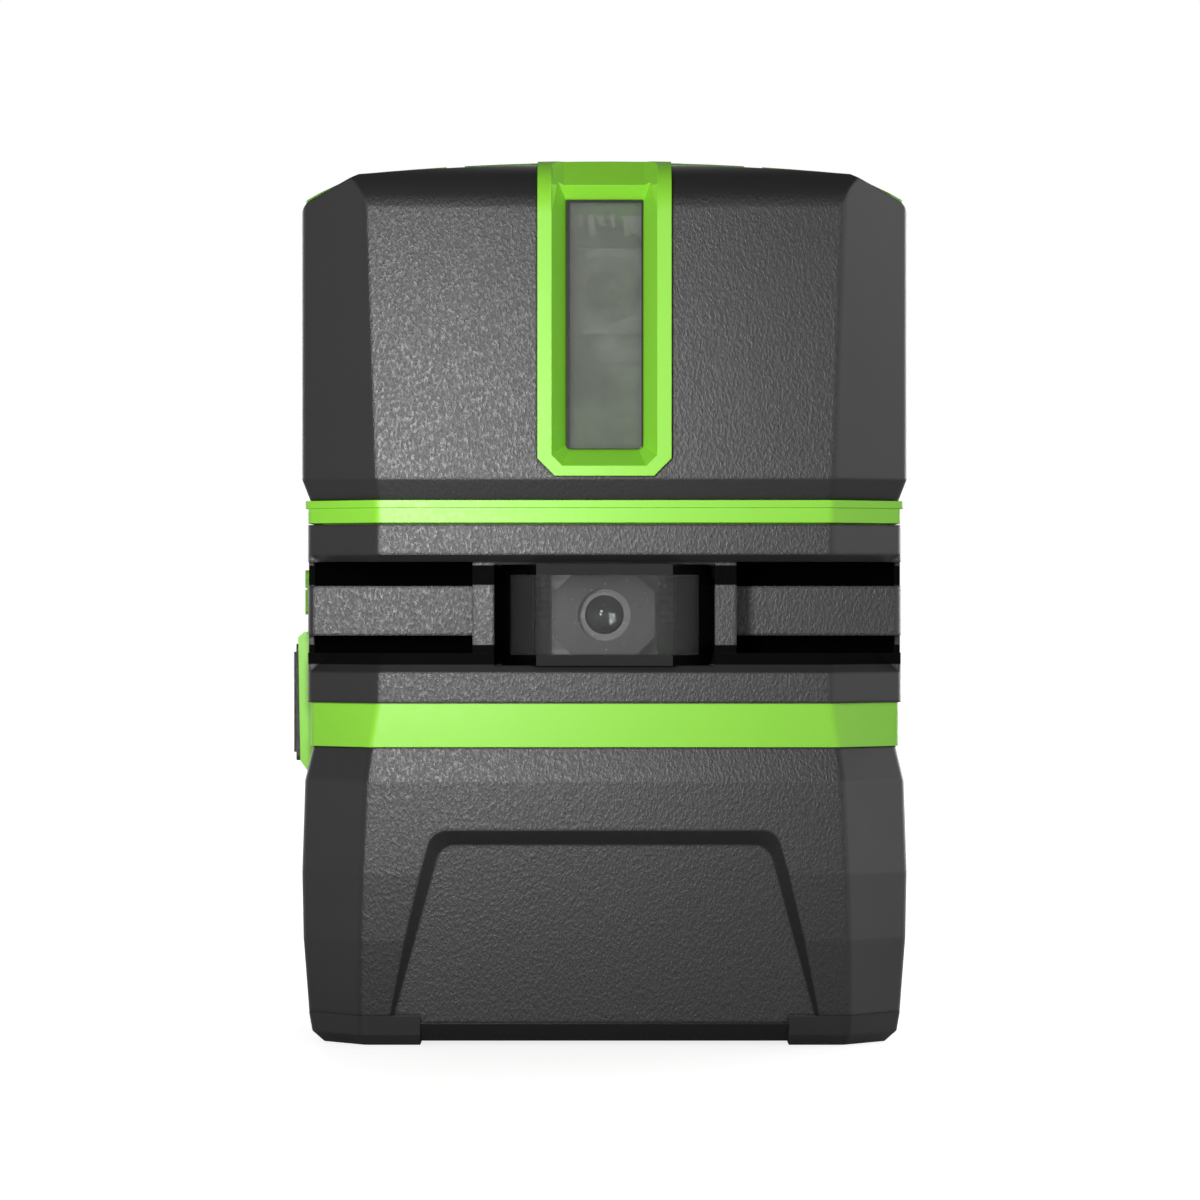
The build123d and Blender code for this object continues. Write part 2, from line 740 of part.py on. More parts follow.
def top_panel_blank(grow):
    """A curved strip that follows the crowned top and its shoulders."""
    shell = skin([(CROWN_HEIGHT - 12, PANEL_EDGE_INSET), (CROWN_HEIGHT + 2, PANEL_EDGE_INSET)])
    shell &= crown(-PANEL_PROUD) - crown(PANEL_THICK)
    shell &= block(-60, 60, -PANEL_HALF_Y, PANEL_HALF_Y, CROWN_HEIGHT - 12, CROWN_HEIGHT + 3)
    shell &= block(-BODY_HALF_X + 0.3, BODY_HALF_X - 0.3, -60, 60, crown_height(BODY_HALF_X, 0) - 0.5, 120)
    return shell


def bezel_blank():
    """The plate round the two keys, before its key holes."""
    shell = crown(-PANEL_PROUD - 0.15) - crown(PANEL_THICK)
    face = RectangleRounded(2 * BEZEL_HALF_X, 2 * BEZEL_HALF_Y, KEY_ROUND + 1.5)
    return shell & extrude(Pos(0, KEY_Y, CROWN_HEIGHT - 5) * face, 10)


def top_panel():
    """Green top panel with two edge notches front and back and the key bezel's opening."""
    body = top_panel_blank(0) - bezel_blank()
    for x in (-NOTCH_X, NOTCH_X):
        for end in (-1, 1):
            y0 = end * PANEL_HALF_Y
            low = min(y0, y0 - end * NOTCH_LENGTH) - 0.01
            high = max(y0, y0 - end * NOTCH_LENGTH) + 0.01
            body -= block(x - NOTCH_WIDTH / 2, x + NOTCH_WIDTH / 2, low, high, 90, 110)
    return body


def key_bezel():
    """Black plate round the two keys."""
    body = bezel_blank() - key_shafts(FIT_GAP, CAVITY_TOP, CROWN_HEIGHT + 3)
    return body - rod_z(CAVITY_TOP, CROWN_HEIGHT + 3, 0, KEY_Y, LIGHT_RADIUS)


def status_light():
    """Clear light guide between the keys."""
    return rod_z(KEY_BOARD_Z + KEY_BOARD_THICK + 0.3, CROWN_HEIGHT + PANEL_PROUD, 0, KEY_Y, LIGHT_RADIUS)


def key_cap(x):
    """A rubber key with its stem, its top following the crown."""
    top = crown(-PANEL_PROUD - 0.1)
    bottom = CROWN_HEIGHT - KEY_HEIGHT
    cap = extrude(Pos(0, 0, bottom) * key_plan(x, 0), KEY_HEIGHT + 2) & top
    return cap + rod_z(KEY_BOARD_Z + KEY_BOARD_THICK + 2.35, bottom + 0.1, x, KEY_Y, KEY_STEM_RADIUS)


def power_button():
    """Left key, with a raised ring."""
    cap = key_cap(-KEY_X)
    ring = rod_z(CROWN_HEIGHT - 1, CROWN_HEIGHT + 2, -KEY_X, KEY_Y, 2.2)
    ring -= rod_z(CROWN_HEIGHT - 2, CROWN_HEIGHT + 3, -KEY_X, KEY_Y, 1.5)
    return cap + (ring & crown(-PANEL_PROUD - 0.1 - KEY_SYMBOL_HEIGHT))


def line_button():
    """Right key, with a raised cross for the two lines."""
    cap = key_cap(KEY_X)
    cross = block(KEY_X - 2.6, KEY_X + 2.6, KEY_Y - 0.35, KEY_Y + 0.35, CROWN_HEIGHT - 1, CROWN_HEIGHT + 2)
    cross += block(KEY_X - 0.35, KEY_X + 0.35, KEY_Y - 2.6, KEY_Y + 2.6, CROWN_HEIGHT - 1, CROWN_HEIGHT + 2)
    return cap + (cross & crown(-PANEL_PROUD - 0.1 - KEY_SYMBOL_HEIGHT))


# ---- Base -----------------------------------------------------------------------------


def foot_corners():
    """The four corner blocks that the feet fill."""
    blocks = []
    for sx in (-1, 1):
        for sy in (-1, 1):
            x0, x1 = sorted((sx * FOOT_INNER_X, sx * 45))
            y0, y1 = sorted((sy * FOOT_INNER_Y, sy * 45))
            blocks.append(block(x0, x1, y0, y1, -1, FOOT_HEIGHT))
    return blocks[0] + blocks[1] + blocks[2] + blocks[3]


def feet():
    """Four rubber corner feet."""
    outer = skin([(0.0, FOOT_INSET), (1.3, BASE_INSET + 0.2), (FOOT_HEIGHT, BASE_INSET - 0.2)])
    inner = skin([(-1, FOOT_INSET + 5.5), (FOOT_HEIGHT + 1, FOOT_INSET + 5.5)])
    body = (outer - inner) & foot_corners()
    return group(body.solids())


def base_screw_places():
    return [(sx * LEG_X, y) for sx in (-1, 1) for y in (LEG_FRONT_Y, LEG_BACK_Y)]


def base_plate():
    """Base plate that closes the housing and carries the tripod insert."""
    body = skin([(BASE_BOTTOM, FOOT_INSET), (BASE_TOP, BASE_INSET)])
    body += skin([(BASE_TOP, COVER_WALL), (CAVITY_FLOOR, COVER_WALL)])
    body += rod_z(CAVITY_FLOOR - 0.5, INSERT_TOP, 0, 0, INSERT_RADIUS + 2)
    body -= feet_blank()
    body -= rod_z(-1, INSERT_TOP + 1, 0, 0, INSERT_RADIUS)
    for x, y in base_screw_places():
        body -= rod_z(-1, 10, x, y, SCREW_RADIUS)
        body -= rod_z(-1, BASE_BOTTOM + SCREW_HEAD_HEIGHT, x, y, SCREW_HEAD_RADIUS)
    return body


def feet_blank():
    """The ring of space that the feet fill under the base plate."""
    outer = skin([(-1, -1), (FOOT_HEIGHT, -1)])
    inner = skin([(-2, FOOT_INSET + 5.5), (FOOT_HEIGHT + 1, FOOT_INSET + 5.5)])
    return (outer - inner) & foot_corners()


def tripod_insert():
    """Brass threaded insert."""
    body = rod_z(BASE_BOTTOM, INSERT_TOP, 0, 0, INSERT_RADIUS)
    return body - rod_z(-1, THREAD_TOP, 0, 0, THREAD_RADIUS)


def base_screws():
    """Four screws from below into the pendulum frame's legs."""
    screws = []
    for x, y in base_screw_places():
        screw = rod_z(BASE_BOTTOM + SCREW_HEAD_HEIGHT, 11, x, y, SCREW_RADIUS)
        head = rod_z(BASE_BOTTOM + 0.2, BASE_BOTTOM + SCREW_HEAD_HEIGHT, x, y, SCREW_HEAD_RADIUS)
        recess = block(x - 1.6, x + 1.6, y - 0.35, y + 0.35, BASE_BOTTOM, BASE_BOTTOM + 1)
        recess += block(x - 0.35, x + 0.35, y - 1.6, y + 1.6, BASE_BOTTOM, BASE_BOTTOM + 1)
        screws.append(screw + head - recess)
    return group(screws)


# ---- Windows --------------------------------------------------------------------------


def recess_face(half, bottom, top, corner, y):
    """The tall window's recess outline with cut lower corners, on a plane at y."""
    points = [
        (-half, top), (-half, bottom + corner), (-half + corner, bottom),
        (half - corner, bottom), (half, bottom + corner), (half, top),
    ]
    return Plane(origin=(0, y, 0), x_dir=(1, 0, 0), z_dir=(0, -1, 0)) * make_face(
        Polyline(*points, close=True)
    )


def window_frame():
    """Green frame of the tall window, rolling over the top edge into the top panel."""
    body = frame_outline_cut() & roll(-FRAME_PROUD) & crown(-PANEL_PROUD)
    back = -BODY_HALF_Y + COVER_WALL + HOUSING_WALL
    body -= block(-20, 20, back, 0, 0, RECESS_TOP - 1.5)
    body -= crown_and_roll_under(COVER_WALL, back)
    rim = FRAME_HALF - FRAME_RIM
    face_y = -BODY_HALF_Y - FRAME_PROUD - 0.02
    front = recess_face(rim, FRAME_BOTTOM + FRAME_RIM - 0.5, RECESS_FRONT_TOP, 1.3, face_y)
    glass = recess_face(GLASS_HALF, GLASS_BOTTOM, GLASS_TOP, 0.5, -BODY_HALF_Y + GLASS_DEPTH)
    body -= loft([front, glass], ruled=True)
    body -= block(
        -GLASS_HALF, GLASS_HALF, -BODY_HALF_Y + GLASS_DEPTH - 0.01, 0, GLASS_BOTTOM, GLASS_TOP
    )
    body -= glass_block(GLASS_SEAT, GLASS_THICK + 5)
    return body - frame_trough()


def trough_level(z, edge_y, floor_y):
    """The trough's plan at a height: slanting walls between the rims and a flat floor."""
    rim = FRAME_HALF - FRAME_RIM
    corners = [(rim, -BODY_HALF_Y - 4), (rim, edge_y), (TROUGH_HALF, floor_y)]
    mirrored = [(-x, y) for x, y in reversed(corners)]
    return Pos(0, 0, z) * make_face(Polyline(*corners, *mirrored, close=True))


def frame_trough():
    """The trough that runs from the recess over the frame's rolled top, sloping back at 45 degrees."""
    floor = -BODY_HALF_Y + TROUGH_DEPTH
    edge = floor - TROUGH_WALL_DEPTH
    roll_start = CROWN_HEIGHT - TOP_ROLL_RADIUS
    rise = 4.0
    low = trough_level(roll_start, -BODY_HALF_Y - FRAME_PROUD, floor)
    crease = trough_level(RECESS_TOP, edge, floor)
    high = trough_level(RECESS_TOP + rise, edge + rise, floor + rise)
    return loft([low, crease], ruled=True) + loft([crease, high], ruled=True)


def crown_and_roll_under(inset, back):
    """The space that the housing's rounded top edge fills behind the frame."""
    return (crown(inset) & roll(inset)) & block(-20, 20, back, 0, RECESS_TOP - 1.6, 120)


def glass_block(margin, thick):
    """The tall window's plate, wider than its opening by a margin."""
    y0 = -BODY_HALF_Y + GLASS_DEPTH
    half = GLASS_HALF + margin
    return block(-half, half, y0, y0 + thick, GLASS_BOTTOM - margin, GLASS_TOP + margin)


def tall_window():
    """Glass of the tall window."""
    return glass_block(GLASS_SEAT, GLASS_THICK)


def tall_gasket():
    """Foam gasket behind the tall window."""
    ring = glass_block(GLASS_SEAT, GLASS_THICK + GASKET_THICK) - glass_block(GLASS_SEAT, GLASS_THICK)
    return ring - glass_block(0, GLASS_THICK + GASKET_THICK + 1)


def bay_window():
    """Glass bay of the wide line, open at the back."""
    body = bay_block(0)
    back = bay_back_y()
    front = -BODY_HALF_Y + BAY_FRONT_INSET + BAY_WALL
    half = BAY_FRONT_HALF - 0.4 * BAY_WALL
    slope = (BAY_BACK_HALF - BAY_FRONT_HALF) / BAY_DEPTH
    far = half + slope * (back + 1 - front)
    hollow = make_face(Polyline((-half, front), (half, front), (far, back + 1), (-far, back + 1), close=True))
    inner = extrude(Pos(0, 0, BAY_BOTTOM + BAY_WALL) * hollow, BAY_TOP - BAY_BOTTOM - 2 * BAY_WALL)
    limit = BAY_BACK_HALF - BAY_WALL
    return body - (inner & block(-limit, limit, -50, 0, 0, 100))


# ---- Pendulum and gimbal --------------------------------------------------------------


def frame_legs():
    return [(sx * LEG_X, y) for sx in (-1, 1) for y in (LEG_FRONT_Y, LEG_BACK_Y)]


def pendulum_frame():
    """Cast frame: legs, floor, and two uprights with the pitch bearings' seats."""
    top = FRAME_FLOOR + FRAME_FLOOR_THICK
    body = block(-LEG_X - 4, LEG_X + 4, LEG_FRONT_Y - 3, LEG_BACK_Y + 3, FRAME_FLOOR, top)
    for x, y in frame_legs():
        body += rod_z(CAVITY_FLOOR, FRAME_FLOOR + 0.5, x, y, LEG_RADIUS)
    for side in (-1, 1):
        x0, x1 = sorted((side * UPRIGHT_X, side * (UPRIGHT_X + UPRIGHT_THICK)))
        upright = block(x0, x1, PIVOT_Y - UPRIGHT_HALF_Y, PIVOT_Y + UPRIGHT_HALF_Y, top - 0.5, UPRIGHT_TOP)
        body += upright
    for x, y in frame_legs():
        body -= rod_z(0, 11, x, y, SCREW_RADIUS)
    body -= rod_x(-30, 30, PIVOT_Y, PIVOT_Z, PIN_RADIUS + 0.6)
    for side in (-1, 1):
        x0, x1 = sorted((side * (UPRIGHT_X - 1), side * (UPRIGHT_X + BEARING_WIDTH)))
        body -= rod_x(x0, x1, PIVOT_Y, PIVOT_Z, BEARING_RADIUS)
    body -= rod_z(0, 40, 0, PIVOT_Y, PLUNGER_RADIUS + 0.06)
    return body


def pitch_bearings():
    """Two bearings in the uprights."""
    rings = []
    for side in (-1, 1):
        x0, x1 = sorted((side * UPRIGHT_X, side * (UPRIGHT_X + BEARING_WIDTH)))
        ring = rod_x(x0, x1, PIVOT_Y, PIVOT_Z, BEARING_RADIUS)
        rings.append(ring - rod_x(x0 - 1, x1 + 1, PIVOT_Y, PIVOT_Z, PIN_RADIUS + TURN_GAP))
    return group(rings)


def gimbal_ring():
    """Rectangular ring between the frame and the pendulum."""
    outer_x = RING_INNER_X + RING_BAR
    outer_y = RING_INNER_Y + RING_BAR
    low = PIVOT_Z - RING_HALF_Z
    high = PIVOT_Z + RING_HALF_Z
    body = block(-outer_x, outer_x, PIVOT_Y - outer_y, PIVOT_Y + outer_y, low, high)
    body -= block(
        -RING_INNER_X, RING_INNER_X, PIVOT_Y - RING_INNER_Y, PIVOT_Y + RING_INNER_Y, low - 1, high + 1
    )
    body = fillet(body.edges().filter_by(Axis.Z), 1.2)
    body -= rod_x(-30, 30, PIVOT_Y, PIVOT_Z, PIN_RADIUS)
    return body - rod_y(PIVOT_Y - 20, PIVOT_Y + 20, 0, PIVOT_Z, PIN_RADIUS)


def pitch_pins():
    """Two pins pressed in the ring, turning in the frame's bearings."""
    pins = []
    for side in (-1, 1):
        x0, x1 = sorted((side * RING_INNER_X, side * (UPRIGHT_X + BEARING_WIDTH)))
        pins.append(rod_x(x0, x1, PIVOT_Y, PIVOT_Z, PIN_RADIUS))
    return group(pins)


def roll_pins():
    """Two pins pressed in the ring, turning in the pendulum's bearings."""
    pins = []
    for side in (-1, 1):
        near = HEAD_HALF_Y - BEARING_WIDTH
        far = RING_INNER_Y + RING_BAR
        y0, y1 = sorted((PIVOT_Y + side * near, PIVOT_Y + side * far))
        pins.append(rod_y(y0, y1, 0, PIVOT_Z, PIN_RADIUS))
    return group(pins)


def roll_bearings():
    """Two bearings in the pendulum's head."""
    rings = []
    for side in (-1, 1):
        y0, y1 = sorted((PIVOT_Y + side * (HEAD_HALF_Y - BEARING_WIDTH), PIVOT_Y + side * HEAD_HALF_Y))
        ring = rod_y(y0, y1, 0, PIVOT_Z, BEARING_RADIUS)
        rings.append(ring - rod_y(y0 - 1, y1 + 1, 0, PIVOT_Z, PIN_RADIUS + TURN_GAP))
    return group(rings)


def pendulum():
    """Cast pendulum: head, stem, and the seats of both laser barrels."""
    head_low = PIVOT_Z - HEAD_HALF_Z
    ring_top = PIVOT_Z + RING_HALF_Z + 1.2
    arm_top = UPPER_LASER_Z + UPPER_LASER_RADIUS + 1.2
    front = UPPER_LASER_FRONT_Y + 1.5
    body = block(
        -HEAD_HALF_X, HEAD_HALF_X, PIVOT_Y - HEAD_HALF_Y, PIVOT_Y + HEAD_HALF_Y, head_low, arm_top
    )
    body += block(-5.5, 5.5, front, PIVOT_Y, ring_top, arm_top)
    body += block(-5.5, 5.5, front, PIVOT_Y - RING_INNER_Y - RING_BAR - 1, UPPER_LASER_Z - 5.2, arm_top)
    body += block(
        -STEM_HALF_X, STEM_HALF_X, PIVOT_Y - STEM_THICK / 2, PIVOT_Y + STEM_THICK / 2,
        FOOT_DISC_TOP, head_low + 1,
    )
    body += block(
        -6.5, 6.5, LOWER_LASER_FRONT_Y + 5, PIVOT_Y, LOWER_LASER_Z - 6.5, LOWER_LASER_Z + 6.5
    )
    body += block(
        -WEIGHT_HALF_X + 2, WEIGHT_HALF_X - 2, PIVOT_Y, PIVOT_Y + STEM_BACK_PLATE,
        WEIGHT_BOTTOM + 3, WEIGHT_TOP,
    )
    body -= rod_y(PIVOT_Y - 20, PIVOT_Y + 20, 0, PIVOT_Z, PIN_RADIUS + 0.6)
    for side in (-1, 1):
        near = PIVOT_Y + side * (HEAD_HALF_Y - BEARING_WIDTH)
        far = PIVOT_Y + side * (HEAD_HALF_Y + 1)
        body -= rod_y(min(near, far), max(near, far), 0, PIVOT_Z, BEARING_RADIUS)
    body -= rod_y(-40, UPPER_LASER_BACK_Y, 0, UPPER_LASER_Z, UPPER_LASER_RADIUS)
    body -= rod_y(-40, LOWER_LASER_BACK_Y, 0, LOWER_LASER_Z, LOWER_LASER_RADIUS)
    for x in (-TRIM_SCREW_X, TRIM_SCREW_X):
        body -= rod_y(PIVOT_Y + 2, PIVOT_Y + 20, x, TRIM_SCREW_Z, TRIM_SCREW_RADIUS)
    return body


def upper_laser():
    """Upper laser barrel with its stepped nose."""
    body = rod_y(UPPER_LASER_FRONT_Y, UPPER_LASER_BACK_Y, 0, UPPER_LASER_Z, UPPER_LASER_RADIUS)
    body -= rod_y(UPPER_LASER_FRONT_Y - 1, UPPER_LASER_FRONT_Y + 1.0, 0, UPPER_LASER_Z, 3.0)
    return body - rod_y(UPPER_LASER_FRONT_Y - 1, UPPER_LASER_FRONT_Y + 2.6, 0, UPPER_LASER_Z, LENS_RADIUS)


def upper_line_lens():
    """Rod lens that spreads the upper beam."""
    return rod_y(UPPER_LASER_FRONT_Y + 1.2, UPPER_LASER_FRONT_Y + 2.6, 0, UPPER_LASER_Z, LENS_RADIUS)


def lower_laser():
    """Lower laser barrel."""
    body = rod_y(LOWER_LASER_FRONT_Y, LOWER_LASER_BACK_Y, 0, LOWER_LASER_Z, LOWER_LASER_RADIUS)
    return body - rod_y(LOWER_LASER_FRONT_Y - 1, LOWER_LASER_FRONT_Y + 2.6, 0, LOWER_LASER_Z, LENS_RADIUS)


def lower_line_lens():
    """Rod lens that spreads the lower beam."""
    return rod_y(LOWER_LASER_FRONT_Y + 1.2, LOWER_LASER_FRONT_Y + 2.6, 0, LOWER_LASER_Z, LENS_RADIUS)


def lens_holder():
    """Eight-sided holder on the lower laser's nose."""
    hx = LENS_HOLDER_HALF_X
    hz = LENS_HOLDER_HALF_Z
    cut = 2.4
    corners = [(hx, hz - cut), (hx - cut, hz), (-hx + cut, hz), (-hx, hz - cut)]
    mirrored = [(-x, -z) for x, z in corners]
    face = make_face(Polyline(*corners, *mirrored, close=True))
    plate = Pos(0, LOWER_LASER_FRONT_Y, LOWER_LASER_Z) * extrude(Plane.XZ * face, LENS_HOLDER_THICK)
    return plate - rod_y(-50, 0, 0, LOWER_LASER_Z, 3.2)


def balance_weight():
    """Brass weight behind the pendulum, thicker at its foot."""
    y0 = PIVOT_Y + STEM_BACK_PLATE
    body = block(-WEIGHT_HALF_X, WEIGHT_HALF_X, y0, y0 + WEIGHT_THICK, WEIGHT_BOTTOM, WEIGHT_STEP)
    body += block(
        -WEIGHT_HALF_X + 2, WEIGHT_HALF_X - 2, y0, y0 + WEIGHT_PLATE_THICK, WEIGHT_STEP, WEIGHT_TOP
    )
    for x in (-TRIM_SCREW_X, TRIM_SCREW_X):
        body -= rod_y(0, 50, x, TRIM_SCREW_Z, TRIM_SCREW_RADIUS)
    return body


def balance_screws():
    """Two screws that trim the pendulum's balance."""
    screws = []
    y0 = PIVOT_Y + STEM_BACK_PLATE + WEIGHT_PLATE_THICK
    for x in (-TRIM_SCREW_X, TRIM_SCREW_X):
        screw = rod_y(y0 - WEIGHT_PLATE_THICK - 3, y0, x, TRIM_SCREW_Z, TRIM_SCREW_RADIUS)
        head = rod_y(y0, y0 + 1.2, x, TRIM_SCREW_Z, 1.9)
        head -= block(x - 1.5, x + 1.5, y0 + 0.7, y0 + 2, TRIM_SCREW_Z - 0.25, TRIM_SCREW_Z + 0.25)
        screws.append(screw + head)
    return group(screws)


def damping_foot():
    """Copper foot whose lower face is a sphere about the gimbal's centre."""
    disc = rod_z(PIVOT_Z - FOOT_RADIUS - 2, FOOT_DISC_TOP, 0, PIVOT_Y, FOOT_DISC_RADIUS)
    return disc & (Pos(0, PIVOT_Y, PIVOT_Z) * Sphere(FOOT_RADIUS))


def yoke_plane():
    return FRAME_FLOOR + FRAME_FLOOR_THICK


def magnet_yoke():
    """Steel plate under the magnets."""
    low = yoke_plane()
    body = rod_z(low, low + YOKE_THICK, 0, PIVOT_Y, YOKE_RADIUS)
    return body - rod_z(low - 1, low + YOKE_THICK + 1, 0, PIVOT_Y, PLUNGER_RADIUS + FIT_GAP)


def damping_magnets():
    """Four magnets under the copper foot."""
    low = yoke_plane() + YOKE_THICK
    magnets = []
    for turn in (45, 135, 225, 315):
        x = MAGNET_CIRCLE * math.cos(math.radians(turn))
        y = PIVOT_Y + MAGNET_CIRCLE * math.sin(math.radians(turn))
        magnets.append(rod_z(low, low + MAGNET_HEIGHT, x, y, MAGNET_RADIUS))
    return group(magnets)


# ---- Lock -----------------------------------------------------------------------------


def slider_guide():
    """Green guide that the lock slider runs in."""
    body = guide_block(0)
    levels = [(GUIDE_BOTTOM - 5, COVER_WALL), (LOWER_BAND_TOP, COVER_WALL)]
    body -= skin(levels + [(LOWER_BAND_TOP + WAIST_SLOPE, COVER_WALL), (GUIDE_TOP + 5, COVER_WALL)])
    body -= bands()
    front = SLIDER_CENTRE_Y - SLIDER_LONG / 2 - FIT_GAP
    back = SLIDER_CENTRE_Y + SLIDER_LONG / 2 + LOCK_TRAVEL + FIT_GAP
    body -= block(-50, -GUIDE_FLOOR, front, back, SLIDER_BOTTOM - FIT_GAP, SLIDER_TOP + FIT_GAP)
    return body - slider_slot()


def lock_slider():
    """Black slider with finger ridges and the stem that reaches inside."""
    y0 = SLIDER_CENTRE_Y - SLIDER_LONG / 2
    y1 = SLIDER_CENTRE_Y + SLIDER_LONG / 2
    body = block(-SLIDER_OUT + 0.35, -GUIDE_FLOOR - FIT_GAP, y0, y1, SLIDER_BOTTOM, SLIDER_TOP)
    body = fillet(body.edges().filter_by(Axis.X), 0.7)
    ridges = 5
    pitch = SLIDER_LONG / (ridges + 1)
    for i in range(ridges):
        y = y0 + pitch * (i + 1)
        body += block(
            -SLIDER_OUT, -SLIDER_OUT + 0.6, y - 0.45, y + 0.45, SLIDER_BOTTOM + 1.0, SLIDER_TOP - 1.0
        )
    stem_y = SLIDER_CENTRE_Y
    body += block(
        -GUIDE_FLOOR - FIT_GAP - 0.5, ARM_X, stem_y - STEM_LONG / 2, stem_y + STEM_LONG / 2,
        STEM_BOTTOM, STEM_TOP,
    )
    return body


def lock_arm():
    """Inner arm: hangs from the stem and carries the cam plate under the frame's floor."""
    y0 = SLIDER_CENTRE_Y - STEM_LONG / 2
    y1 = SLIDER_CENTRE_Y + STEM_LONG / 2
    body = block(ARM_X, ARM_X + ARM_THICK, y0, y1, CAM_BOTTOM, STEM_TOP)
    bar_high = CAM_BOTTOM + 4
    body += block(ARM_X, CAM_THICK / 2, y0 + 0.5, y1 - 0.5, CAM_BOTTOM, bar_high)
    back = PIVOT_Y + 4
    body += block(-CAM_THICK / 2, CAM_THICK / 2, y0, back, CAM_BOTTOM, CAM_TOP)
    slope = LOCK_LIFT / LOCK_TRAVEL
    near = PIVOT_Y + 0.3
    far = PIVOT_Y - LOCK_TRAVEL - 0.3
    half = CAM_PIN_RADIUS + PIN_GAP
    centre = [(near, CAM_PIN_Z - slope * 0.3), (far, CAM_PIN_Z + slope * (LOCK_TRAVEL + 0.3))]
    tilt = math.degrees(math.atan(slope))
    length = math.hypot(near - far, centre[1][1] - centre[0][1])
    slot = SlotCenterToCenter(length, 2 * half)
    middle = ((near + far) / 2, (centre[0][1] + centre[1][1]) / 2)
    cutter = extrude(Plane.YZ * (Pos(middle[0], middle[1]) * Rot(0, 0, -tilt) * slot), 5, both=True)
    return body - cutter


def lock_plunger():
    """Plunger whose fork straddles the cam plate."""
    top = pad_bottom()
    body = rod_z(PLUNGER_BOTTOM, top, 0, PIVOT_Y, PLUNGER_RADIUS)
    gap = CAM_THICK / 2 + FIT_GAP
    body -= block(-gap, gap, PIVOT_Y - 5, PIVOT_Y + 5, PLUNGER_BOTTOM - 1, CAM_TOP + FIT_GAP + 0.2)
    return body - rod_x(-5, 5, PIVOT_Y, CAM_PIN_Z, CAM_PIN_RADIUS)


def cam_pin():
    """Cross pin in the plunger's fork, running in the cam plate's slot."""
    return rod_x(-PLUNGER_RADIUS, PLUNGER_RADIUS, PIVOT_Y, CAM_PIN_Z, CAM_PIN_RADIUS)


def pad_bottom():
    """Rest height of the lock pad's underside: the pad stops just short of the foot."""
    return PIVOT_Z - FOOT_RADIUS - FIT_GAP - LOCK_LIFT - PAD_THICK


def lock_pad():
    """Rubber pad on the plunger."""
    low = pad_bottom()
    return rod_z(low, low + PAD_THICK, 0, PIVOT_Y, PAD_RADIUS)


def lock_switch():
    """Switch that the lock arm works, on the housing's left wall."""
    x0 = -BODY_HALF_X + COVER_WALL + HOUSING_WALL
    y0 = SLIDER_CENTRE_Y + STEM_LONG / 2 + LOCK_TRAVEL + 0.6
    body = block(x0, x0 + 5.8, y0, y0 + 6.5, 22, 34)
    return body


# ---- Charging port --------------------------------------------------------------------


def flap_middle_z():
    return (FLAP_BOTTOM + FLAP_TOP) / 2


def port_middle_y():
    return (FLAP_FRONT_Y + FLAP_BACK_Y) / 2 - 1


def port_flap():
    """Green rubber flap with a finger tab, a dividing line and a plug for the port."""
    inner = -FLAP_OUT + FLAP_THICK + FIT_GAP
    round_y = FLAP_BACK_Y - FLAP_THICK / 2
    body = block(-FLAP_OUT, -FLAP_OUT + FLAP_THICK, FLAP_FRONT_Y, round_y, FLAP_BOTTOM, FLAP_TOP)
    front_edges = body.edges().filter_by(Axis.X).group_by(Axis.Y)[0]
    body = fillet(front_edges, 0.6)
    body += rod_z(FLAP_BOTTOM, FLAP_TOP, -FLAP_OUT + FLAP_THICK / 2, round_y, FLAP_THICK / 2)
    line = FLAP_BOTTOM + 0.58 * (FLAP_TOP - FLAP_BOTTOM)
    body -= block(
        -FLAP_OUT - 1, -FLAP_OUT + 0.25, FLAP_FRONT_Y - 1, FLAP_BACK_Y + 1, line - 0.1, line + 0.1
    )
    plug_end = -FLAP_OUT + FLAP_THICK + FLAP_PLUG_DEPTH
    plug = block(
        -FLAP_OUT + FLAP_THICK - 0.2, plug_end, port_middle_y() - PORT_HALF_Y + 0.6,
        port_middle_y() + PORT_HALF_Y - 0.6, flap_middle_z() - PORT_HALF_Z + 0.4,
        flap_middle_z() + PORT_HALF_Z - 0.4,
    )
    return body + plug


def charging_socket():
    """Steel shell of the charging socket."""
    x0 = -BODY_HALF_X + WAIST_COVER_WALL + 0.2
    body = port_hole(FIT_GAP, x0, x0 + 7)
    return body - port_hole(0, x0 - 1, x0 + 6)


def charging_board():
    """Small board that carries the charging socket."""
    x0 = -BODY_HALF_X + WAIST_COVER_WALL + HOUSING_WALL
    low = flap_middle_z() - PORT_HALF_Z - FIT_GAP - 1.2
    return block(x0, x0 + 12, port_middle_y() - 7, port_middle_y() + 7, low, low + 1.2)


# ---- Battery --------------------------------------------------------------------------


def battery_door():
    """Hinged door in the lower cover's back, with a finger scoop and two hinge knuckles."""
    levels = [
        (BASE_TOP, BASE_INSET - 0.1),
        (LOWER_SHOULDER * 0.4, 0.15),
        (LOWER_SHOULDER * 0.65, 0.0),
        (LOWER_SHOULDER, 0.35),
    ]
    shell = skin(levels)
    inner = BODY_HALF_Y - COVER_WALL + FIT_GAP
    body = shell & block(-DOOR_HALF_X, DOOR_HALF_X, inner, 50, DOOR_BOTTOM, DOOR_TOP)
    for side in (-1, 1):
        x0, x1 = sorted((side * KNUCKLE_INNER_X, side * KNUCKLE_OUTER_X))
        body += rod_x(x0, x1, DOOR_PIN_Y, DOOR_PIN_Z, KNUCKLE_RADIUS)
    body -= rod_x(-40, 40, DOOR_PIN_Y, DOOR_PIN_Z, DOOR_PIN_RADIUS + TURN_GAP)
    scoop = Pos(0, BODY_HALF_Y + 5.2, DOOR_TOP - 1) * Sphere(6.0)
    return body - scoop


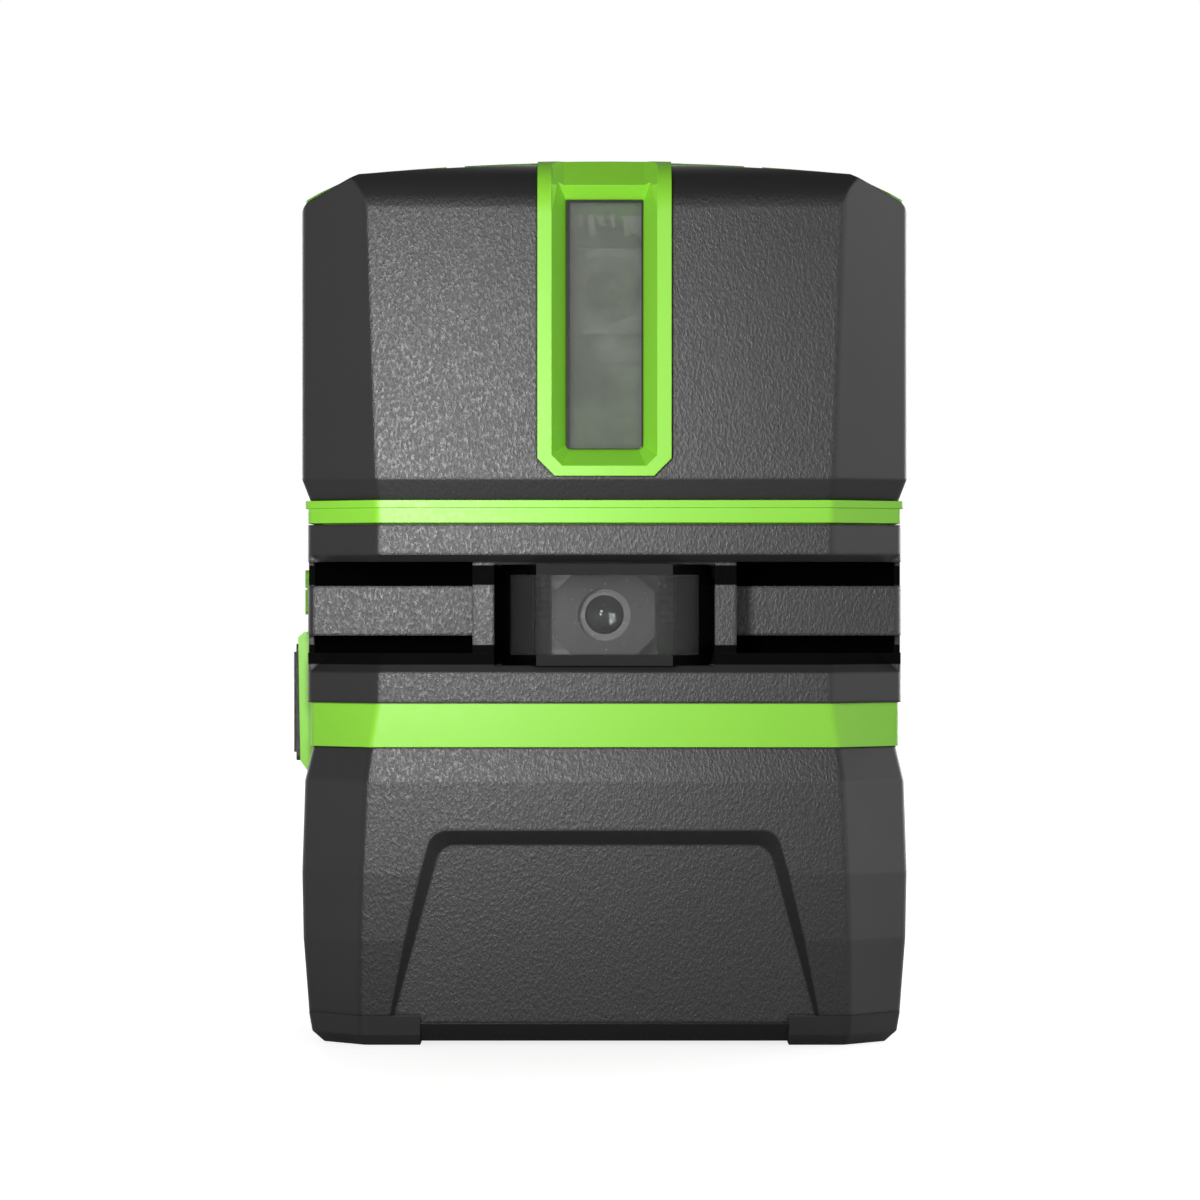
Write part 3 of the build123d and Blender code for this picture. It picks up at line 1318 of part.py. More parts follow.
def door_pin():
    """Steel pin of the battery door."""
    return rod_x(-DOOR_HALF_X - 2, DOOR_HALF_X + 2, DOOR_PIN_Y, DOOR_PIN_Z, DOOR_PIN_RADIUS)


def battery_pack():
    """Flat rechargeable pack."""
    body = block(
        -BATTERY_HALF_X, BATTERY_HALF_X, BATTERY_FRONT_Y, BATTERY_FRONT_Y + BATTERY_THICK,
        BATTERY_BOTTOM, BATTERY_TOP,
    )
    return fillet(body.edges().filter_by(Axis.X), 2.0)


def battery_contacts():
    """Three spring contacts in front of the pack."""
    tabs = []
    for x in (-6, 0, 6):
        tabs.append(
            block(x - 1.2, x + 1.2, BATTERY_FRONT_Y - 0.6, BATTERY_FRONT_Y - 0.05, 14, 24)
        )
    return group(tabs)


def battery_cradle():
    """Plastic wall that holds the contacts and parts the battery from the pendulum."""
    front = BATTERY_FRONT_Y - 2.2
    back = BATTERY_FRONT_Y - 0.6
    return block(-BATTERY_HALF_X - 1, BATTERY_HALF_X + 1, front, back, CAVITY_FLOOR, BATTERY_TOP + 2)


# ---- Boards ---------------------------------------------------------------------------


def main_board():
    """Main circuit board behind the pendulum."""
    return block(-BOARD_HALF_X, BOARD_HALF_X, BOARD_Y, BOARD_Y + BOARD_THICK, BOARD_BOTTOM, BOARD_TOP)


def board_parts():
    """Chips and a coil on the main board."""
    parts = []
    chips = ((-12, 84, 9, 9, 1.2), (8, 86, 6, 6, 1.2), (12, 66, 7, 7, 3.0), (-10, 62, 5, 8, 1.6))
    for x, z, w, h, t in chips:
        parts.append(
            block(x - w / 2, x + w / 2, BOARD_Y - t, BOARD_Y, z - h / 2, z + h / 2)
        )
    return group(parts)


def key_board():
    """Small board under the keys."""
    low = KEY_BOARD_Z
    return block(-17, 17, KEY_Y - 5, KEY_Y + 8, low, low + KEY_BOARD_THICK)


def key_switches():
    """Two switches under the keys."""
    low = KEY_BOARD_Z + KEY_BOARD_THICK
    switches = []
    for x in (-KEY_X, KEY_X):
        body = block(x - 3, x + 3, KEY_Y - 3, KEY_Y + 3, low, low + 1.0)
        switches.append(body + rod_z(low + 1.0, low + 1.6, x, KEY_Y, 1.6))
    return group(switches)


# ---- Hand-over ------------------------------------------------------------------------


def build():
    """Every node by name."""
    whole = housing()
    return {
        "front_housing": whole & front_half(),
        "rear_housing": whole & back_half(),
        "upper_cover": upper_cover(),
        "middle_cover": middle_cover(),
        "lower_cover": lower_cover(),
        "top_panel": top_panel(),
        "key_bezel": key_bezel(),
        "power_button": power_button(),
        "line_button": line_button(),
        "status_light": status_light(),
        "base_plate": base_plate(),
        "feet": feet(),
        "tripod_insert": tripod_insert(),
        "base_screws": base_screws(),
        "housing_screws": housing_screws(),
        "window_frame": window_frame(),
        "tall_window": tall_window(),
        "tall_gasket": tall_gasket(),
        "bay_window": bay_window(),
        "pendulum_frame": pendulum_frame(),
        "pitch_bearings": pitch_bearings(),
        "gimbal_ring": gimbal_ring(),
        "pitch_pins": pitch_pins(),
        "roll_pins": roll_pins(),
        "roll_bearings": roll_bearings(),
        "pendulum": pendulum(),
        "upper_laser": upper_laser(),
        "upper_line_lens": upper_line_lens(),
        "lower_laser": lower_laser(),
        "lower_line_lens": lower_line_lens(),
        "lens_holder": lens_holder(),
        "balance_weight": balance_weight(),
        "balance_screws": balance_screws(),
        "damping_foot": damping_foot(),
        "magnet_yoke": magnet_yoke(),
        "damping_magnets": damping_magnets(),
        "slider_guide": slider_guide(),
        "lock_slider": lock_slider(),
        "lock_arm": lock_arm(),
        "lock_plunger": lock_plunger(),
        "cam_pin": cam_pin(),
        "lock_pad": lock_pad(),
        "lock_switch": lock_switch(),
        "port_flap": port_flap(),
        "charging_socket": charging_socket(),
        "charging_board": charging_board(),
        "battery_door": battery_door(),
        "door_pin": door_pin(),
        "battery_pack": battery_pack(),
        "battery_contacts": battery_contacts(),
        "battery_cradle": battery_cradle(),
        "main_board": main_board(),
        "board_parts": board_parts(),
        "key_board": key_board(),
        "key_switches": key_switches(),
    }


os.makedirs("parts", exist_ok=True)
for name, solid in build().items():
    export_step(solid, f"parts/{name}.step")
    print(name, round(solid.volume, 2), len(solid.solids()))
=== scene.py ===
import json
import math

import bpy
import numpy as np
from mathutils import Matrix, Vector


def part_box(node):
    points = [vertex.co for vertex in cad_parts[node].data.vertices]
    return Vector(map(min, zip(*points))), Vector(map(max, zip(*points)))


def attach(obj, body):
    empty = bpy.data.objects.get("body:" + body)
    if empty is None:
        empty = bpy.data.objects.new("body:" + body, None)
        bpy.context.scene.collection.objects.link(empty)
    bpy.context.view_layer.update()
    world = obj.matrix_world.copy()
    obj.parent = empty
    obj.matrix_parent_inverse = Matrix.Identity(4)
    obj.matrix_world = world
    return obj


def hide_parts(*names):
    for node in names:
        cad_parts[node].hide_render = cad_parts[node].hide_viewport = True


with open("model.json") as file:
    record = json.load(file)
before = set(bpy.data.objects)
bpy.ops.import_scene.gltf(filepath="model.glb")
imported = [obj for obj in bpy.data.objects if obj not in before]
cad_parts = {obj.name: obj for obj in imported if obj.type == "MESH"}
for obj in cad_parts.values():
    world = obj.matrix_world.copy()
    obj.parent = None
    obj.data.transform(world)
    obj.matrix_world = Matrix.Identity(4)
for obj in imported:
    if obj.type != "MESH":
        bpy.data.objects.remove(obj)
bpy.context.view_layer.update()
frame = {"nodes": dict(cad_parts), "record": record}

NODES = frame["nodes"]

MM = 0.001
FULL_TURN = 2.0 * math.pi

GRAIN_HEIGHT = 0.07 * MM
GRAIN_STRENGTH = 0.55
COVER_EDGE_ROUND = 0.5 * MM
PLASTIC_EDGE_ROUND = 0.18 * MM
COVER_GLOSS = 0.8
CLEAR_IOR = 1.46
# Painted shade: near black for the deep grooves of the slot.
GROOVE_PAINTED_SHADE = (0.0012, 0.0012, 0.0012, 1.0)
# Painted shade: near black for the border of the bay window.
BORDER_PAINTED_SHADE = (0.008, 0.008, 0.008, 1.0)
DUST_PALE = (0.8, 0.8, 0.8, 1.0)
PAD_GOLD = (0.65, 0.55, 0.3, 1.0)


# ---- Places read from the frame -------------------------------------------------------

FRONT_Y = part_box("upper_cover")[0].y
BAY_LOW, BAY_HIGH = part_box("bay_window")
GLASS_LOW, GLASS_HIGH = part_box("tall_window")
SLOT_SKIN = 35.2 * MM
GROOVE_FROM = FRONT_Y + 7.2 * MM
GROOVE_TO = FRONT_Y + 8.6 * MM
# Share of the painted shade that is given to the slopes leading into the grooves.
SLOPE_SHADE = 0.86
MASK_FADE = 0.2 * MM
BORDER_FADE = 0.05 * MM
SLOT_MIDDLE = (BAY_LOW.z + BAY_HIGH.z) / 2
SLOT_HALF = (BAY_HIGH.z - BAY_LOW.z) / 2
RIB_HALF = 3.5 * MM
BAY_BORDER = 1.3 * MM
BAY_WALL = 1.4 * MM


# ---- Node helpers ---------------------------------------------------------------------


class Nodes:
    """A small hand for one node tree: makes nodes, sets their values and links them."""

    def __init__(self, tree):
        self.tree = tree

    def place(self):
        """Object coordinates of the shaded point."""
        return self.add("TexCoord").outputs["Object"]

    def per_mm(self, size):
        """Texture scale whose features are this many millimetres across."""
        return self.math("DIVIDE", 1.0, self.math("MULTIPLY", size, MM))

    def noise(self, vector, scale, detail, **more):
        """Noise value between nought and one."""
        made = self.add("TexNoise", {"Vector": vector, "Scale": scale, "Detail": detail, **more})
        return made.outputs["Fac"]

    def bump(self, shader, height, distance, strength, edge_round=None):
        """Raise the surface by the height, on top of softly rounded edges if a radius is given."""
        made = self.add("Bump", {"Height": height, "Distance": distance, "Strength": strength})
        if edge_round is not None:
            self.put(made.inputs["Normal"], self.add("Bevel", {"Radius": edge_round}, samples=4))
        self.put(shader.inputs["Normal"], made)

    def group(self, tree, values):
        """A shared effect placed in this material with its own values."""
        node = self.tree.nodes.new("ShaderNodeGroup")
        node.node_tree = tree
        for key, value in values.items():
            self.put(node.inputs[key], value)
        return node

    def add(self, kind, values=None, **settings):
        """A node of this kind, with these settings and these sockets set or linked."""
        node = self.tree.nodes.new("ShaderNode" + kind)
        for key, value in settings.items():
            setattr(node, key, value)
        for key, value in (values or {}).items():
            self.put(node.inputs[key], value)
        return node

    def put(self, socket, value):
        """Link a socket or a node's first output to this socket, or set a plain value on it."""
        if isinstance(value, bpy.types.NodeSocket):
            self.tree.links.new(value, socket)
        elif isinstance(value, bpy.types.Node):
            self.tree.links.new(value.outputs[0], socket)
        else:
            socket.default_value = value

    def math(self, operation, a, b=0.0, clamp=False):
        return self.add("Math", {0: a, 1: b}, operation=operation, use_clamp=clamp).outputs[0]

    def ramp(self, value, low, high, out_low=0.0, out_high=1.0):
        """Smooth step from one value to another between two ends."""
        made = self.add(
            "MapRange",
            {"Value": value, "From Min": low, "From Max": high, "To Min": out_low, "To Max": out_high},
            interpolation_type="SMOOTHSTEP",
        )
        return made.outputs["Result"]

    def mix(self, factor, a, b, blend="MIX"):
        made = self.add("Mix", data_type="RGBA", blend_type=blend)
        self.put(made.inputs["Factor"], factor)
        self.put(made.inputs["A"], a)
        self.put(made.inputs["B"], b)
        return made.outputs["Result"]


def new_group(name, inputs, outputs):
    """An empty node group: inputs are (name, socket kind, value), outputs (name, socket kind)."""
    tree = bpy.data.node_groups.new(name, "ShaderNodeTree")
    for label, kind, value in inputs:
        socket = tree.interface.new_socket(label, in_out="INPUT", socket_type="NodeSocket" + kind)
        socket.default_value = value
    for label, kind in outputs:
        tree.interface.new_socket(label, in_out="OUTPUT", socket_type="NodeSocket" + kind)
    hand = Nodes(tree)
    return hand, tree.nodes.new("NodeGroupInput"), tree.nodes.new("NodeGroupOutput")


# ---- Shared effects -------------------------------------------------------------------


def leather_grain_group():
    """Spark-eroded leather grain: slanting wrinkles from warped noise, crossed by finer pits.
    It fades on the faceted corners and bevels, where the mould was left smoother."""
    hand, inp, out = new_group(
        "leather_grain",
        [("Size mm", "Float", 0.5), ("Depth", "Float", 1.0), ("Smooth share", "Float", 0.15)],
        [("Height", "Float"), ("Hollows", "Float")],
    )
    scale = hand.per_mm(inp.outputs["Size mm"])
    slant_turn, slant_stretch = (0.0, 0.5, 0.3), (1.0, 1.0, 0.62)
    cross_turn, cross_stretch = (0.0, -0.6, 0.2), (1.0, 1.0, 0.6)
    slant = hand.add("Mapping", {"Vector": hand.place(), "Rotation": slant_turn, "Scale": slant_stretch})
    cross = hand.add("Mapping", {"Vector": hand.place(), "Rotation": cross_turn, "Scale": cross_stretch})
    wrinkle = hand.noise(slant, scale, 3.0, Roughness=0.6, Distortion=0.35)
    fine_scale = hand.math("MULTIPLY", scale, 1.5)
    pits = hand.add("TexVoronoi", {"Vector": cross, "Scale": fine_scale}, feature="SMOOTH_F1")
    ridge = hand.math("MULTIPLY", hand.ramp(wrinkle, 0.3, 0.7), 0.7)
    both = hand.math("ADD", ridge, hand.math("MULTIPLY", pits.outputs["Distance"], 0.45))
    facing = hand.add("SeparateXYZ", {"Vector": hand.add("TexCoord").outputs["Normal"]})
    across = hand.math("ABSOLUTE", facing.outputs["X"])
    along = hand.math("ABSOLUTE", facing.outputs["Y"])
    square_on = hand.ramp(hand.math("MAXIMUM", across, along), 0.90, 0.975)
    share = hand.math("MAXIMUM", square_on, inp.outputs["Smooth share"])
    depth = hand.math("MULTIPLY", share, inp.outputs["Depth"])
    hollow = hand.math("SUBTRACT", 0.85, both, clamp=True)
    hand.put(out.inputs["Height"], hand.math("MULTIPLY", both, depth))
    hand.put(out.inputs["Hollows"], hand.math("MULTIPLY", hollow, depth))
    return hand.tree


def edge_wear_and_highlight_group():
    """Mask of the raised edges: where a rounded normal leaves the true one. It pales edges partly as wear
    and partly as a painted highlight.
    """
    hand, inp, out = new_group(
        "edge_wear_and_highlight", [("Radius mm", "Float", 0.4), ("Breakup", "Float", 0.5)], [("Mask", "Float")]
    )
    radius = hand.math("MULTIPLY", inp.outputs["Radius mm"], MM)
    rounded = hand.add("Bevel", {"Radius": radius}, samples=4)
    true = hand.add("NewGeometry").outputs["Normal"]
    turn = hand.add("VectorMath", {0: rounded, 1: true}, operation="DOT_PRODUCT")
    edge = hand.ramp(turn.outputs["Value"], 0.995, 0.93)
    gap = hand.math("SUBTRACT", 1.0, hand.ramp(hand.noise(hand.place(), 900.0, 3.0), 0.35, 0.62))
    share = hand.math("SUBTRACT", 1.0, hand.math("MULTIPLY", inp.outputs["Breakup"], gap))
    hand.put(out.inputs["Mask"], hand.math("MULTIPLY", edge, share))
    return hand.tree


def mottle_group():
    """Slow colour variation and fine moulding flecks, both from noise."""
    hand, inp, out = new_group(
        "mottle",
        [("Color", "Color", (0.5, 0.5, 0.5, 1.0)), ("Amount", "Float", 0.1), ("Size mm", "Float", 12.0)],
        [("Color", "Color")],
    )
    scale = hand.per_mm(inp.outputs["Size mm"])
    slow = hand.math("MULTIPLY", hand.noise(hand.place(), scale, 4.0), 0.7)
    fleck = hand.math("MULTIPLY", hand.noise(hand.place(), hand.math("MULTIPLY", scale, 40.0), 1.0), 0.3)
    centred = hand.math("SUBTRACT", hand.math("ADD", slow, fleck), 0.5)
    swing = hand.math("MULTIPLY", centred, inp.outputs["Amount"])
    gain = hand.math("ADD", 1.0, hand.math("MULTIPLY", swing, 2.0))
    tint = hand.add("CombineColor", {"Red": gain, "Green": gain, "Blue": gain})
    hand.put(out.inputs["Color"], hand.mix(1.0, inp.outputs["Color"], tint, "MULTIPLY"))
    return hand.tree


def metal_lines_group():
    """Fine drawn lines on metal: noise stretched along X and a little along Z."""
    hand, inp, out = new_group("metal_lines", [("Line mm", "Float", 0.12)], [("Height", "Float")])
    stretched = hand.add("Mapping", {"Vector": hand.place(), "Scale": (0.06, 1.0, 0.5)})
    hand.put(out.inputs["Height"], hand.noise(stretched, hand.per_mm(inp.outputs["Line mm"]), 2.0))
    return hand.tree


GRAIN = leather_grain_group()
WEAR_AND_HIGHLIGHT = edge_wear_and_highlight_group()
MOTTLE = mottle_group()
METAL_LINES = metal_lines_group()


def material(name):
    """A new material: returns it with its node hand and its Principled shader."""
    made = bpy.data.materials.new(name)
    made.use_nodes = True
    hand = Nodes(made.node_tree)
    shader = made.node_tree.nodes["Principled BSDF"]
    return made, hand, shader


# ---- Materials ------------------------------------------------------------------------


def groove_shade_mask(hand):
    """Painted shade mask: one down in the two grooves of the slot, nearly that on the slopes that lead into
    them, nought on the outer faces and on the face of the rib between them."""
    point = hand.add("SeparateXYZ", {"Vector": hand.place()})
    behind_face = hand.ramp(point.outputs["Y"], GROOVE_FROM, GROOVE_TO)
    inside_back = hand.ramp(point.outputs["Y"], 1.0 * MM, 0.0)
    off_centre = hand.math("ABSOLUTE", point.outputs["X"])
    inside_side = hand.ramp(off_centre, SLOT_SKIN + 2 * MASK_FADE, SLOT_SKIN)
    groove = hand.math("MULTIPLY", behind_face, inside_side)
    from_middle = hand.math("ABSOLUTE", hand.math("SUBTRACT", point.outputs["Z"], SLOT_MIDDLE))
    off_rib = hand.ramp(from_middle, RIB_HALF, RIB_HALF + MASK_FADE)
    in_slot = hand.ramp(from_middle, SLOT_HALF, SLOT_HALF - MASK_FADE)
    slope = hand.math("MULTIPLY", hand.math("MULTIPLY", off_rib, in_slot), SLOPE_SHADE)
    return hand.math("MULTIPLY", hand.math("MAXIMUM", groove, slope), inside_back)


def toned(colour, gain, lift=0.0):
    """The colour with each channel times a gain plus a lift: above one for edges, below for hollows."""
    return tuple(min(1.0, channel * gain + lift) for channel in colour[:3]) + (1.0,)


def grained_cover(name, colour, roughness, grain_mm, smooth_share, edge_wear_highlight_gain, paint_slot_shade=False):
    """Black moulded cover: leathery grain with darker hollows, edges paled partly as wear and partly as
    painted highlight, and a slight mottle.
    A cover with painted slot shade turns matt, loses its reflection and is painted darker down in its slot."""
    made, hand, shader = material(name)
    grain = hand.group(GRAIN, {"Size mm": grain_mm, "Depth": 1.0, "Smooth share": smooth_share})
    mottle = hand.group(MOTTLE, {"Color": colour, "Amount": 0.12, "Size mm": 9.0})
    wear_and_highlight = hand.group(WEAR_AND_HIGHLIGHT, {"Radius mm": 0.35, "Breakup": 0.5})
    hollows = grain.outputs["Hollows"]
    hollowed = hand.mix(hollows, mottle, toned(colour, 0.45))
    # Paler edges: partly wear, partly painted highlight.
    tint = hand.mix(wear_and_highlight, hollowed, toned(colour, edge_wear_highlight_gain))
    rough = hand.math("ADD", roughness, hand.math("MULTIPLY", hollows, 0.25))
    if paint_slot_shade:
        # Painted shade: the grooves and slopes of the slot go near black, matt and without reflection.
        slot_shade = groove_shade_mask(hand)
        tint = hand.mix(slot_shade, tint, GROOVE_PAINTED_SHADE)
        rough = hand.math("MAXIMUM", rough, slot_shade)
        hand.put(shader.inputs["Specular IOR Level"], hand.ramp(slot_shade, 0.0, 1.0, COVER_GLOSS, 0.0))
    else:
        shader.inputs["Specular IOR Level"].default_value = COVER_GLOSS
    hand.put(shader.inputs["Base Color"], tint)
    hand.put(shader.inputs["Roughness"], rough)
    hand.bump(shader, grain.outputs["Height"], GRAIN_HEIGHT, GRAIN_STRENGTH, COVER_EDGE_ROUND)
    return made


def moulded_plastic(name, colour, roughness, amount=0.06, coat=0.0):
    """Plain moulded plastic with a faint orange peel and softly lit edges."""
    made, hand, shader = material(name)
    mottle = hand.group(MOTTLE, {"Color": colour, "Amount": amount, "Size mm": 14.0})
    wear_and_highlight = hand.group(WEAR_AND_HIGHLIGHT, {"Radius mm": 0.25, "Breakup": 0.35})
    peel = hand.noise(hand.place(), 1600.0, 2.0)
    # Paler edges: partly wear, partly painted highlight.
    hand.put(shader.inputs["Base Color"], hand.mix(wear_and_highlight, mottle, toned(colour, 1.15, 0.004)))
    hand.put(shader.inputs["Roughness"], hand.ramp(peel, 0.2, 0.8, roughness - 0.05, roughness + 0.06))
    hand.bump(shader, peel, 0.02 * MM, 0.35, PLASTIC_EDGE_ROUND)
    shader.inputs["Coat Weight"].default_value = coat
    shader.inputs["Coat Roughness"].default_value = 0.25
    return made


def rubber(name, colour, roughness):
    """Matt rubber with a fine sanded texture and a little pale bloom."""
    made, hand, shader = material(name)
    sand = hand.noise(hand.place(), 5200.0, 2.0)
    mottle = hand.group(MOTTLE, {"Color": colour, "Amount": 0.2, "Size mm": 5.0})
    hand.put(shader.inputs["Base Color"], mottle)
    hand.put(shader.inputs["Roughness"], hand.ramp(sand, 0.3, 0.7, roughness - 0.06, roughness + 0.06))
    hand.bump(shader, sand, 0.04 * MM, 0.5)
    shader.inputs["Sheen Weight"].default_value = 0.15
    return made


def bare_metal(name, colour, roughness, line_mm=0.12, relief=0.25):
    """Turned or rolled metal with fine lines and uneven polish."""
    made, hand, shader = material(name)
    lines = hand.group(METAL_LINES, {"Line mm": line_mm}).outputs["Height"]
    mottle = hand.group(MOTTLE, {"Color": colour, "Amount": 0.12, "Size mm": 4.0})
    hand.put(shader.inputs["Base Color"], mottle)
    hand.put(shader.inputs["Roughness"], hand.ramp(lines, 0.3, 0.7, roughness - 0.08, roughness + 0.1))
    shader.inputs["Metallic"].default_value = 1.0
    hand.bump(shader, lines, 0.02 * MM, relief)
    return made


def border_shade_mask(hand):
    """One on the border of the bay window that is painted black as shade: along its top, its foot and its
    two ends.
    """
    point = hand.add("SeparateXYZ", {"Vector": hand.place()})
    from_middle = hand.math("ABSOLUTE", hand.math("SUBTRACT", point.outputs["Z"], SLOT_MIDDLE))
    clear_tall = SLOT_HALF - BAY_BORDER
    clear_wide = BAY_HIGH.x - 1.5 * BAY_BORDER
    level = hand.ramp(from_middle, clear_tall, clear_tall + BORDER_FADE)
    end = hand.ramp(hand.math("ABSOLUTE", point.outputs["X"]), clear_wide, clear_wide + BORDER_FADE)
    return hand.math("MAXIMUM", level, end)


def window_glass(name, veil_colour, veil, roughness, painted_border_shade=False):
    """Clear window with a thin veil of haze: the veil's share is opaque, the rest lets what is
    behind it through unbent, and a few specks of dust stand fully opaque."""
    made, hand, shader = material(name)
    specks = hand.add("TexVoronoi", {"Vector": hand.place(), "Scale": 520.0})
    spot = hand.ramp(specks.outputs["Distance"], 0.05, 0.02)
    chance = hand.add("SeparateColor", {0: specks.outputs["Color"]})
    dust = hand.math("MULTIPLY", spot, hand.ramp(chance.outputs[0], 0.86, 0.9))
    haze = hand.noise(hand.place(), 160.0, 4.0)
    cover = hand.ramp(haze, 0.3, 0.7, veil * 0.88, veil * 1.12)
    tint = hand.mix(dust, veil_colour, DUST_PALE)
    opaque = hand.math("MAXIMUM", cover, dust)
    if painted_border_shade:
        # Painted shade: the border of the bay window goes near black and opaque.
        border_shade = border_shade_mask(hand)
        tint = hand.mix(border_shade, tint, BORDER_PAINTED_SHADE)
        opaque = hand.math("MAXIMUM", opaque, border_shade)
    hand.put(shader.inputs["Base Color"], tint)
    hand.put(shader.inputs["Roughness"], hand.ramp(dust, 0.0, 1.0, roughness, 0.5))
    hand.put(shader.inputs["Alpha"], opaque)
    shader.inputs["IOR"].default_value = CLEAR_IOR
    shader.inputs["Transmission Weight"].default_value = 0.0
    shader.inputs["Metallic"].default_value = 0.0
    return made


def clear_lens(name, colour, roughness):
    """Polished clear lens with a faint fingerprint haze."""
    made, hand, shader = material(name)
    haze = hand.noise(hand.place(), 700.0, 3.0)
    hand.put(shader.inputs["Roughness"], hand.ramp(haze, 0.4, 0.7, roughness, roughness + 0.05))
    shader.inputs["Base Color"].default_value = colour
    shader.inputs["Transmission Weight"].default_value = 1.0
    shader.inputs["IOR"].default_value = CLEAR_IOR
    shader.inputs["Metallic"].default_value = 0.0
    return made


def circuit_board(name):
    """Solder mask with tracks and pads, from a brick pattern and a grid of dots."""
    made, hand, shader = material(name)
    flat = hand.add("Mapping", {"Vector": hand.place(), "Rotation": (math.pi / 2, 0.0, 0.0)})
    greens = {
        "Color1": (0.01, 0.12, 0.04, 1.0),
        "Color2": (0.012, 0.15, 0.05, 1.0),
        "Mortar": (0.02, 0.26, 0.09, 1.0),
    }
    tracks = hand.add("TexBrick", {"Vector": flat, "Scale": 260.0, "Mortar Size": 0.06, **greens})
    dots = hand.add("TexVoronoi", {"Vector": flat, "Scale": 420.0})
    pad = hand.ramp(dots.outputs["Distance"], 0.16, 0.12)
    hand.put(shader.inputs["Base Color"], hand.mix(pad, tracks.outputs["Color"], PAD_GOLD))
    hand.put(shader.inputs["Metallic"], hand.math("MULTIPLY", pad, 0.8))
    shader.inputs["Roughness"].default_value = 0.35
    hand.bump(shader, tracks.outputs["Fac"], 0.03 * MM, 0.4)
    return made


BLACK = (0.020, 0.020, 0.0205, 1.0)
LIME = (0.30, 0.79, 0.045, 1.0)

COVER_BLACK = grained_cover("cover_black", BLACK, 0.37, 0.34, 0.08, 1.9)
# Black cover with painted shade in the grooves and slopes of its slot.
SLOT_COVER_PAINTED_SHADE = grained_cover("slot_cover_black_painted_shade", BLACK, 0.37, 0.34, 0.08, 1.9, paint_slot_shade=True)
SLIDER_GRIP = grained_cover("slider_grip", (0.06, 0.06, 0.06, 1.0), 0.5, 0.35, 0.8, 2.0)
SMOOTH_BLACK = moulded_plastic("smooth_black", (0.021, 0.021, 0.022, 1.0), 0.42, 0.1)
HOLDER_GREY = moulded_plastic("holder_grey", (0.10, 0.10, 0.102, 1.0), 0.45, 0.1)
LIME_SHELL = moulded_plastic("lime_shell", LIME, 0.42, 0.03, 0.1)
LIME_RUBBER = rubber("lime_rubber", (0.28, 0.73, 0.043, 1.0), 0.6)
BLACK_RUBBER = rubber("black_rubber", (0.022, 0.022, 0.023, 1.0), 0.68)
TALL_GLASS = window_glass("tall_glass", (0.68, 0.655, 0.68, 1.0), 0.50, 0.06)
BAY_GLASS = window_glass("bay_glass", (0.40, 0.40, 0.40, 1.0), 0.20, 0.06, painted_border_shade=True)
LENS_GLASS = clear_lens("lens_glass", (0.9, 0.95, 0.97, 1.0), 0.02)
# Painted shade: near black for the plates behind the bay window's slanted sides.
BAFFLE_SHADE_BLACK = moulded_plastic("baffle_shade_black", (0.004, 0.004, 0.004, 1.0), 0.7, 0.1)
BRASS = bare_metal("turned_brass", (0.62, 0.44, 0.18, 1.0), 0.3)
STEEL = bare_metal("bright_steel", (0.55, 0.55, 0.56, 1.0), 0.28)
CAST = bare_metal("cast_alloy", (0.42, 0.42, 0.43, 1.0), 0.5, 0.3, 0.4)
COPPER = bare_metal("copper", (0.68, 0.32, 0.18, 1.0), 0.26)
BOARD = circuit_board("circuit_board")
CHIP = moulded_plastic("chip_black", (0.02, 0.02, 0.021, 1.0), 0.5)
DARK_BARREL = bare_metal("darkened_barrel", (0.16, 0.16, 0.165, 1.0), 0.4)
# Painted glint: white for the leads behind the tall glass, standing in for the shine of bright metal.
WHITE_GLINT = moulded_plastic("white_glint_leads", (0.85, 0.85, 0.83, 1.0), 0.4)
# Partly seal rubber, partly painted shade at the edge of the tall glass.
SEAL_AND_SHADE_BLACK = rubber("seal_and_shade_black", (0.006, 0.006, 0.007, 1.0), 0.6)
LINT = moulded_plastic("pale_lint", (0.9, 0.9, 0.88, 1.0), 0.7)
WRAP = moulded_plastic("battery_wrap", (0.03, 0.09, 0.32, 1.0), 0.25, 0.05, 0.4)

FINISH_OF_SLOT = {
    "green_shell": LIME_SHELL,
    "green_rubber": LIME_RUBBER,
    "black_grained": COVER_BLACK,
    "black_smooth": SMOOTH_BLACK,
    "black_rubber": BLACK_RUBBER,
    "clear_window": TALL_GLASS,
    "brass": BRASS,
    "steel": STEEL,
    "cast_alloy": CAST,
    "copper": COPPER,
    "board_green": BOARD,
    "chip_black": CHIP,
    "battery_wrap": WRAP,
}


def finish_cad_nodes():
    """Every CAD node gets the material of its slot."""
    for part in frame["record"]["subparts"]:
        node = NODES[part["node"]]
        node.data.materials.clear()
        node.data.materials.append(FINISH_OF_SLOT[part["material_slot"]])


finish_cad_nodes()
for node, finish in (
    ("bay_window", BAY_GLASS),
    ("upper_line_lens", LENS_GLASS),
    ("lower_line_lens", LENS_GLASS),
    ("upper_laser", DARK_BARREL),
    ("lower_laser", DARK_BARREL),
    ("lock_slider", SLIDER_GRIP),
    ("middle_cover", SLOT_COVER_PAINTED_SHADE),
    ("lens_holder", HOLDER_GREY),
):
    NODES[node].data.materials.clear()
    NODES[node].data.materials.append(finish)


# ---- New pieces -----------------------------------------------------------------------


